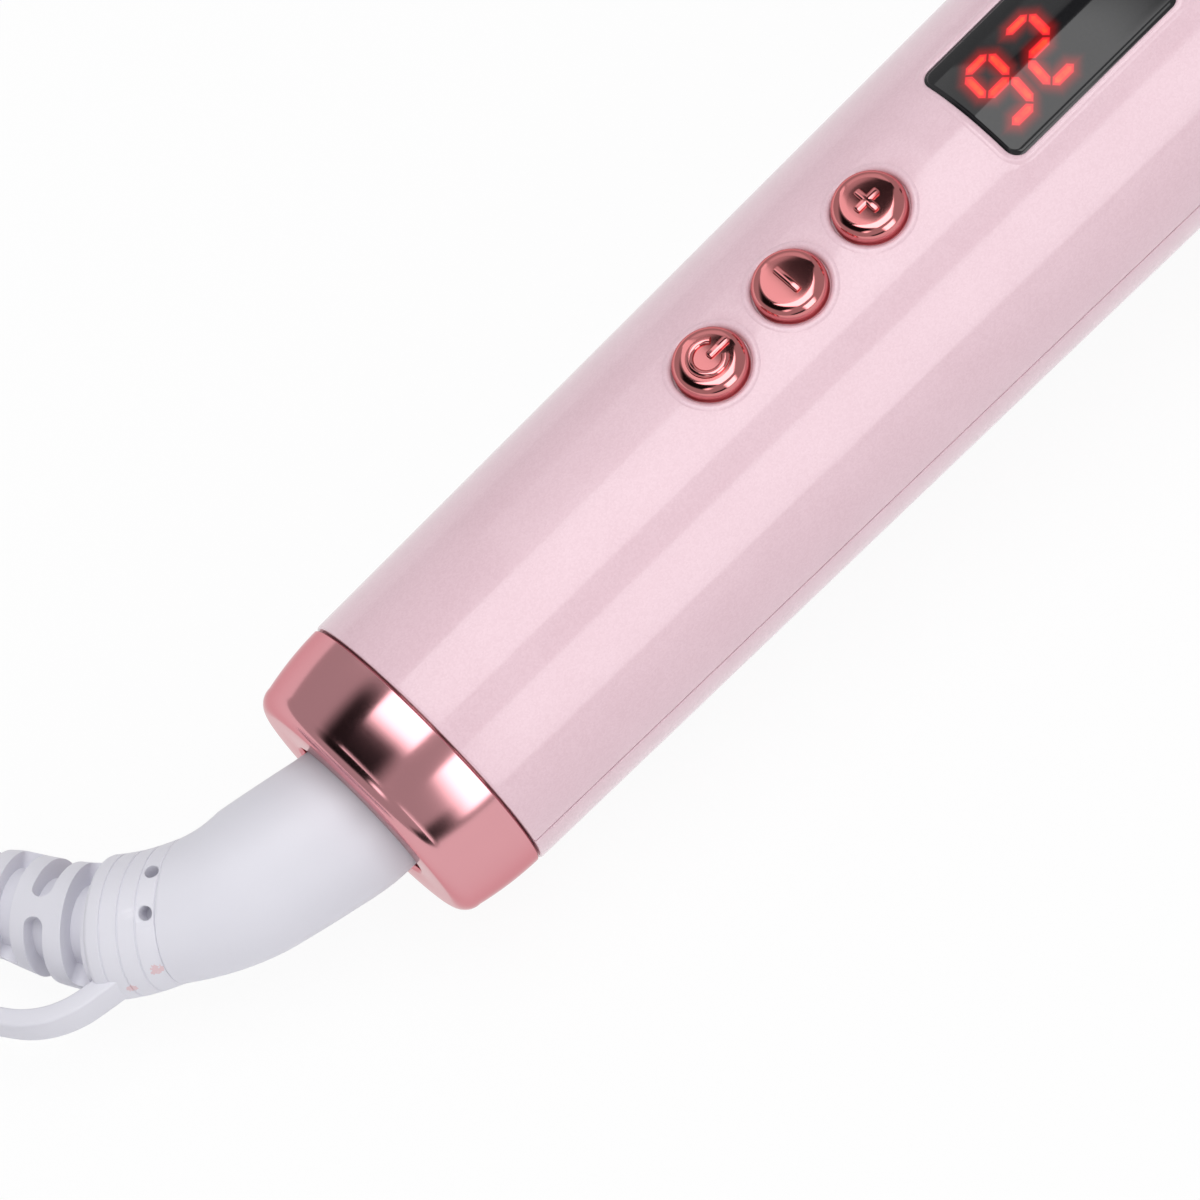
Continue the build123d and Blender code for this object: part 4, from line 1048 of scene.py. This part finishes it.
def strapLine(half):
    # The strap's centre line in its own plane, as points with their headings: ramp, straight and hooked tail
    corners = [
        Vector((-half, stem["endRadius"] - strap["sink"])), Vector((strap["ramp"] - half, strap["reach"])),
        Vector((half - strap["tail"], strap["reach"])), Vector((half, strap["hook"])),
    ]
    headings = [(after - before).normalized() for before, after in zip(corners, corners[1:])]
    line = [(corners[0], headings[0])]
    for index, radius in ((1, strap["rampRound"]), (2, strap["corner"])):
        before, after = headings[index - 1], headings[index]
        turn = before.angle_signed(after)
        start = corners[index] - before * radius * math.tan(abs(turn) / 2)
        inward = Vector((-before.y, before.x)) * (-1 if turn > 0 else 1)
        for step in range(strap["roundSteps"] + 1):
            spin = Matrix.Rotation(-turn * step / strap["roundSteps"], 2)
            line.append((start + inward * radius - spin @ inward * radius, spin @ before))
    return [*line, (corners[3], headings[2])]


def strapStations():
    root, end = sleeveStart - strap["root"], reliefEnd - relief["endRadius"]
    plane = stemPlace((root + end) / 2)
    lean = math.radians(strap["lean"])
    forward = plane.col[2].xyz
    outward = plane.col[1].xyz * math.sin(lean) - plane.col[0].xyz * math.cos(lean)
    across = forward.cross(outward)
    stations = []
    for spot, heading in strapLine((end - root) / 2):
        place = plane.translation + forward * spot.x + outward * spot.y
        tangent = forward * heading.x + outward * heading.y
        turned = Matrix((across, across.cross(tangent), tangent)).transposed().to_4x4()
        stations.append((Matrix.Translation(place) @ turned, 0.0))
    return stations


def makeRelief():
    piece = drawRings("strainRelief", relief["around"], reliefStations(), plainRing)
    share = 360 / slots["webs"]
    for row in range(slots["rows"]):
        run = sleeveStart + slots["first"] + slots["pitch"] * row
        for web in range(slots["webs"]):
            cutWith(piece, slotCutter(run, -90 - slots["turn"] + (row % 2) * share / 2 + share * web))
    for side in (-1, 1):
        cutWith(piece, pegCutter(side * pegHoles["apart"] / 2 - pegHoles["middle"]))
    section = roundRect(strap["width"] / 2, strap["thickness"] / 2, strap["soft"])
    loop = drawRings("hangingLoop", strap["around"], strapStations(), section)
    piece = joinPieces([piece, loop])
    settle(piece, "white_vinyl", "swivel", relief["smooth"], "strain_relief", stemVinyl)
    return piece


stemPiece = makeStem()
reliefPiece = makeRelief()
print("stem and strain relief made")

# Cord: one smooth line through the route's points, a coil of two layers, and the tail to the plug.
# Points are in millimetres from the table's point below the handle's rear end
cord = {
    "diameter": 5.4, "length": 1.544, "lead": 11.0,
    "leadPoints": ((-67.0, 55.6, 4.7), (-81.0, 60.4, 4.0), (-98.0, 61.4, 3.9)),
    "coilStart": (-113.6, 61.4, 3.9), "coilMiddle": (-119.0, 19.15, 3.9), "innerRadius": 21.6, "pitch": 5.9,
    "halfTurns": 1260.0, "leaveTurn": 30.0, "step": 15.0, "straight": 5.4, "tailLead": 8.0,
    "tailPoints": ((-160.0, 46.9, 8.4), (-168.0, 46.0, 6.85), (-175.5, 46.0, 6.85)),
    "smoothness": 6, "coilReach": 45.5, "lap": 2.0,
}


def cordRoute():
    rowShift = Vector((ironStart.x / mm, 0, 0))
    end = rescaled(ironPlace, 1 / mm) @ stemPlace(reliefEnd)
    route = [end.translation, end.translation + end.col[2].xyz.normalized() * cord["lead"]]
    route += [Vector(point) + rowShift for point in (*cord["leadPoints"], cord["coilStart"])]
    middle = Vector(cord["coilMiddle"]) + rowShift
    for index in range(round((2 * cord["halfTurns"] + cord["leaveTurn"]) / cord["step"]) + 1):
        turned = cord["step"] * index
        reverse = turned - cord["halfTurns"]  # wound in to the middle, then out again a layer higher
        radius = cord["innerRadius"] + cord["pitch"] * abs(reverse) / 360
        rise = min(1.0, max(0.0, (reverse + 90) / 180)) * cord["pitch"]
        angle = math.radians(90 + turned)
        route.append(middle + Vector((radius * math.cos(angle), radius * math.sin(angle), rise)))
    leaving = math.radians(cord["leaveTurn"])
    heading = Vector((-math.cos(leaving), -math.sin(leaving), 0))
    leave = route[-1] + heading * cord["straight"]
    route += [leave, leave + heading * cord["tailLead"]]
    route += [Vector(point) + rowShift for point in cord["tailPoints"]]
    return [point * mm for point in route]


def makeCord():
    route = cordRoute()
    line = bpy.data.curves.new("cordLine", "CURVE")
    line.dimensions = "3D"
    line.resolution_u = cord["smoothness"]
    spline = line.splines.new("NURBS")
    spline.points.add(len(route) - 1)
    for point, spot in zip(spline.points, route):
        point.co = (*spot, 1)
    spline.order_u = 3
    spline.use_endpoint_u = True
    curve = bpy.data.objects.new("mainsCord", line)
    bpy.context.scene.collection.objects.link(curve)
    bpy.context.view_layer.update()
    thread = bpy.data.meshes.new_from_object(curve)
    path = [vertex.co.copy() for vertex in thread.vertices]
    bpy.data.meshes.remove(thread)
    line.bevel_depth = cord["diameter"] / 2 * mm
    line.bevel_resolution = cord["smoothness"]
    line.use_fill_caps = True
    pickOnly(curve)
    bpy.ops.object.convert(target="MESH")
    tube = bpy.context.object
    tube.data.materials.clear()
    tube.data.materials.append(finishes["white_vinyl"])
    bpy.ops.object.shade_smooth()
    # The level heading from the coil's middle towards where the cord leaves the swivel; nothing goes on to use it
    exitSpot = path[0]
    coilMiddle = Vector(cord["coilMiddle"]) * mm + Vector((ironStart.x, 0, 0))
    away = exitSpot - coilMiddle
    away.z = 0
    away.normalize()
    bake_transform(tube)
    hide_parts("cord_lead", "cord_coil", "cord_tail")


makeCord()
print("cord laid")

# Clamp spring: wound on the hinge pin, with its rear leg under the lever
spring = {
    "wire": 1.2, "radius": 3.2, "pitch": 1.9, "turns": 4, "frontLeg": 8.0, "rearLeg": 11.0,
    "rearTurn": 37.0, "steps": 160, "around": 16, "smooth": 40.0, "hold": 1.9,
}
hingeSpot = Vector(jointNamed("clamp_hinge")["pos_m"])


def makeSpring(setup):
    hinge = (ironPlace.inverted() @ hingeSpot) / mm
    radius, lead, thick = setup["radius"], setup["pitch"] / (2 * math.pi), setup["wire"] / 2
    whole = math.radians(360 * setup["turns"] + setup["rearTurn"])
    stations = []
    for index in range(setup["steps"] + 1):
        wound = whole * index / setup["steps"]
        turn = -math.pi / 2 - wound
        outward = Vector((math.cos(turn), 0, math.sin(turn)))
        ahead = Vector((radius * math.sin(turn), lead, -radius * math.cos(turn))).normalized()
        spot = hinge + outward * radius
        spot.y += lead * wound - setup["pitch"] * setup["turns"] / 2
        turned = Matrix((outward, ahead.cross(outward), ahead)).transposed().to_4x4()
        stations.append((Matrix.Translation(spot) @ turned, thick))
    stations.insert(0, (stations[0][0] @ atHeight(-setup["frontLeg"]), thick))
    stations.append((stations[-1][0] @ atHeight(setup["rearLeg"]), thick))
    piece = drawRings("clampSpring", setup["around"], stations, plainRing)
    dress(piece, finishes["steel"], setup["smooth"])
    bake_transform(piece)
    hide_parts("clamp_spring")


makeSpring(spring)
print("clamp spring wound")
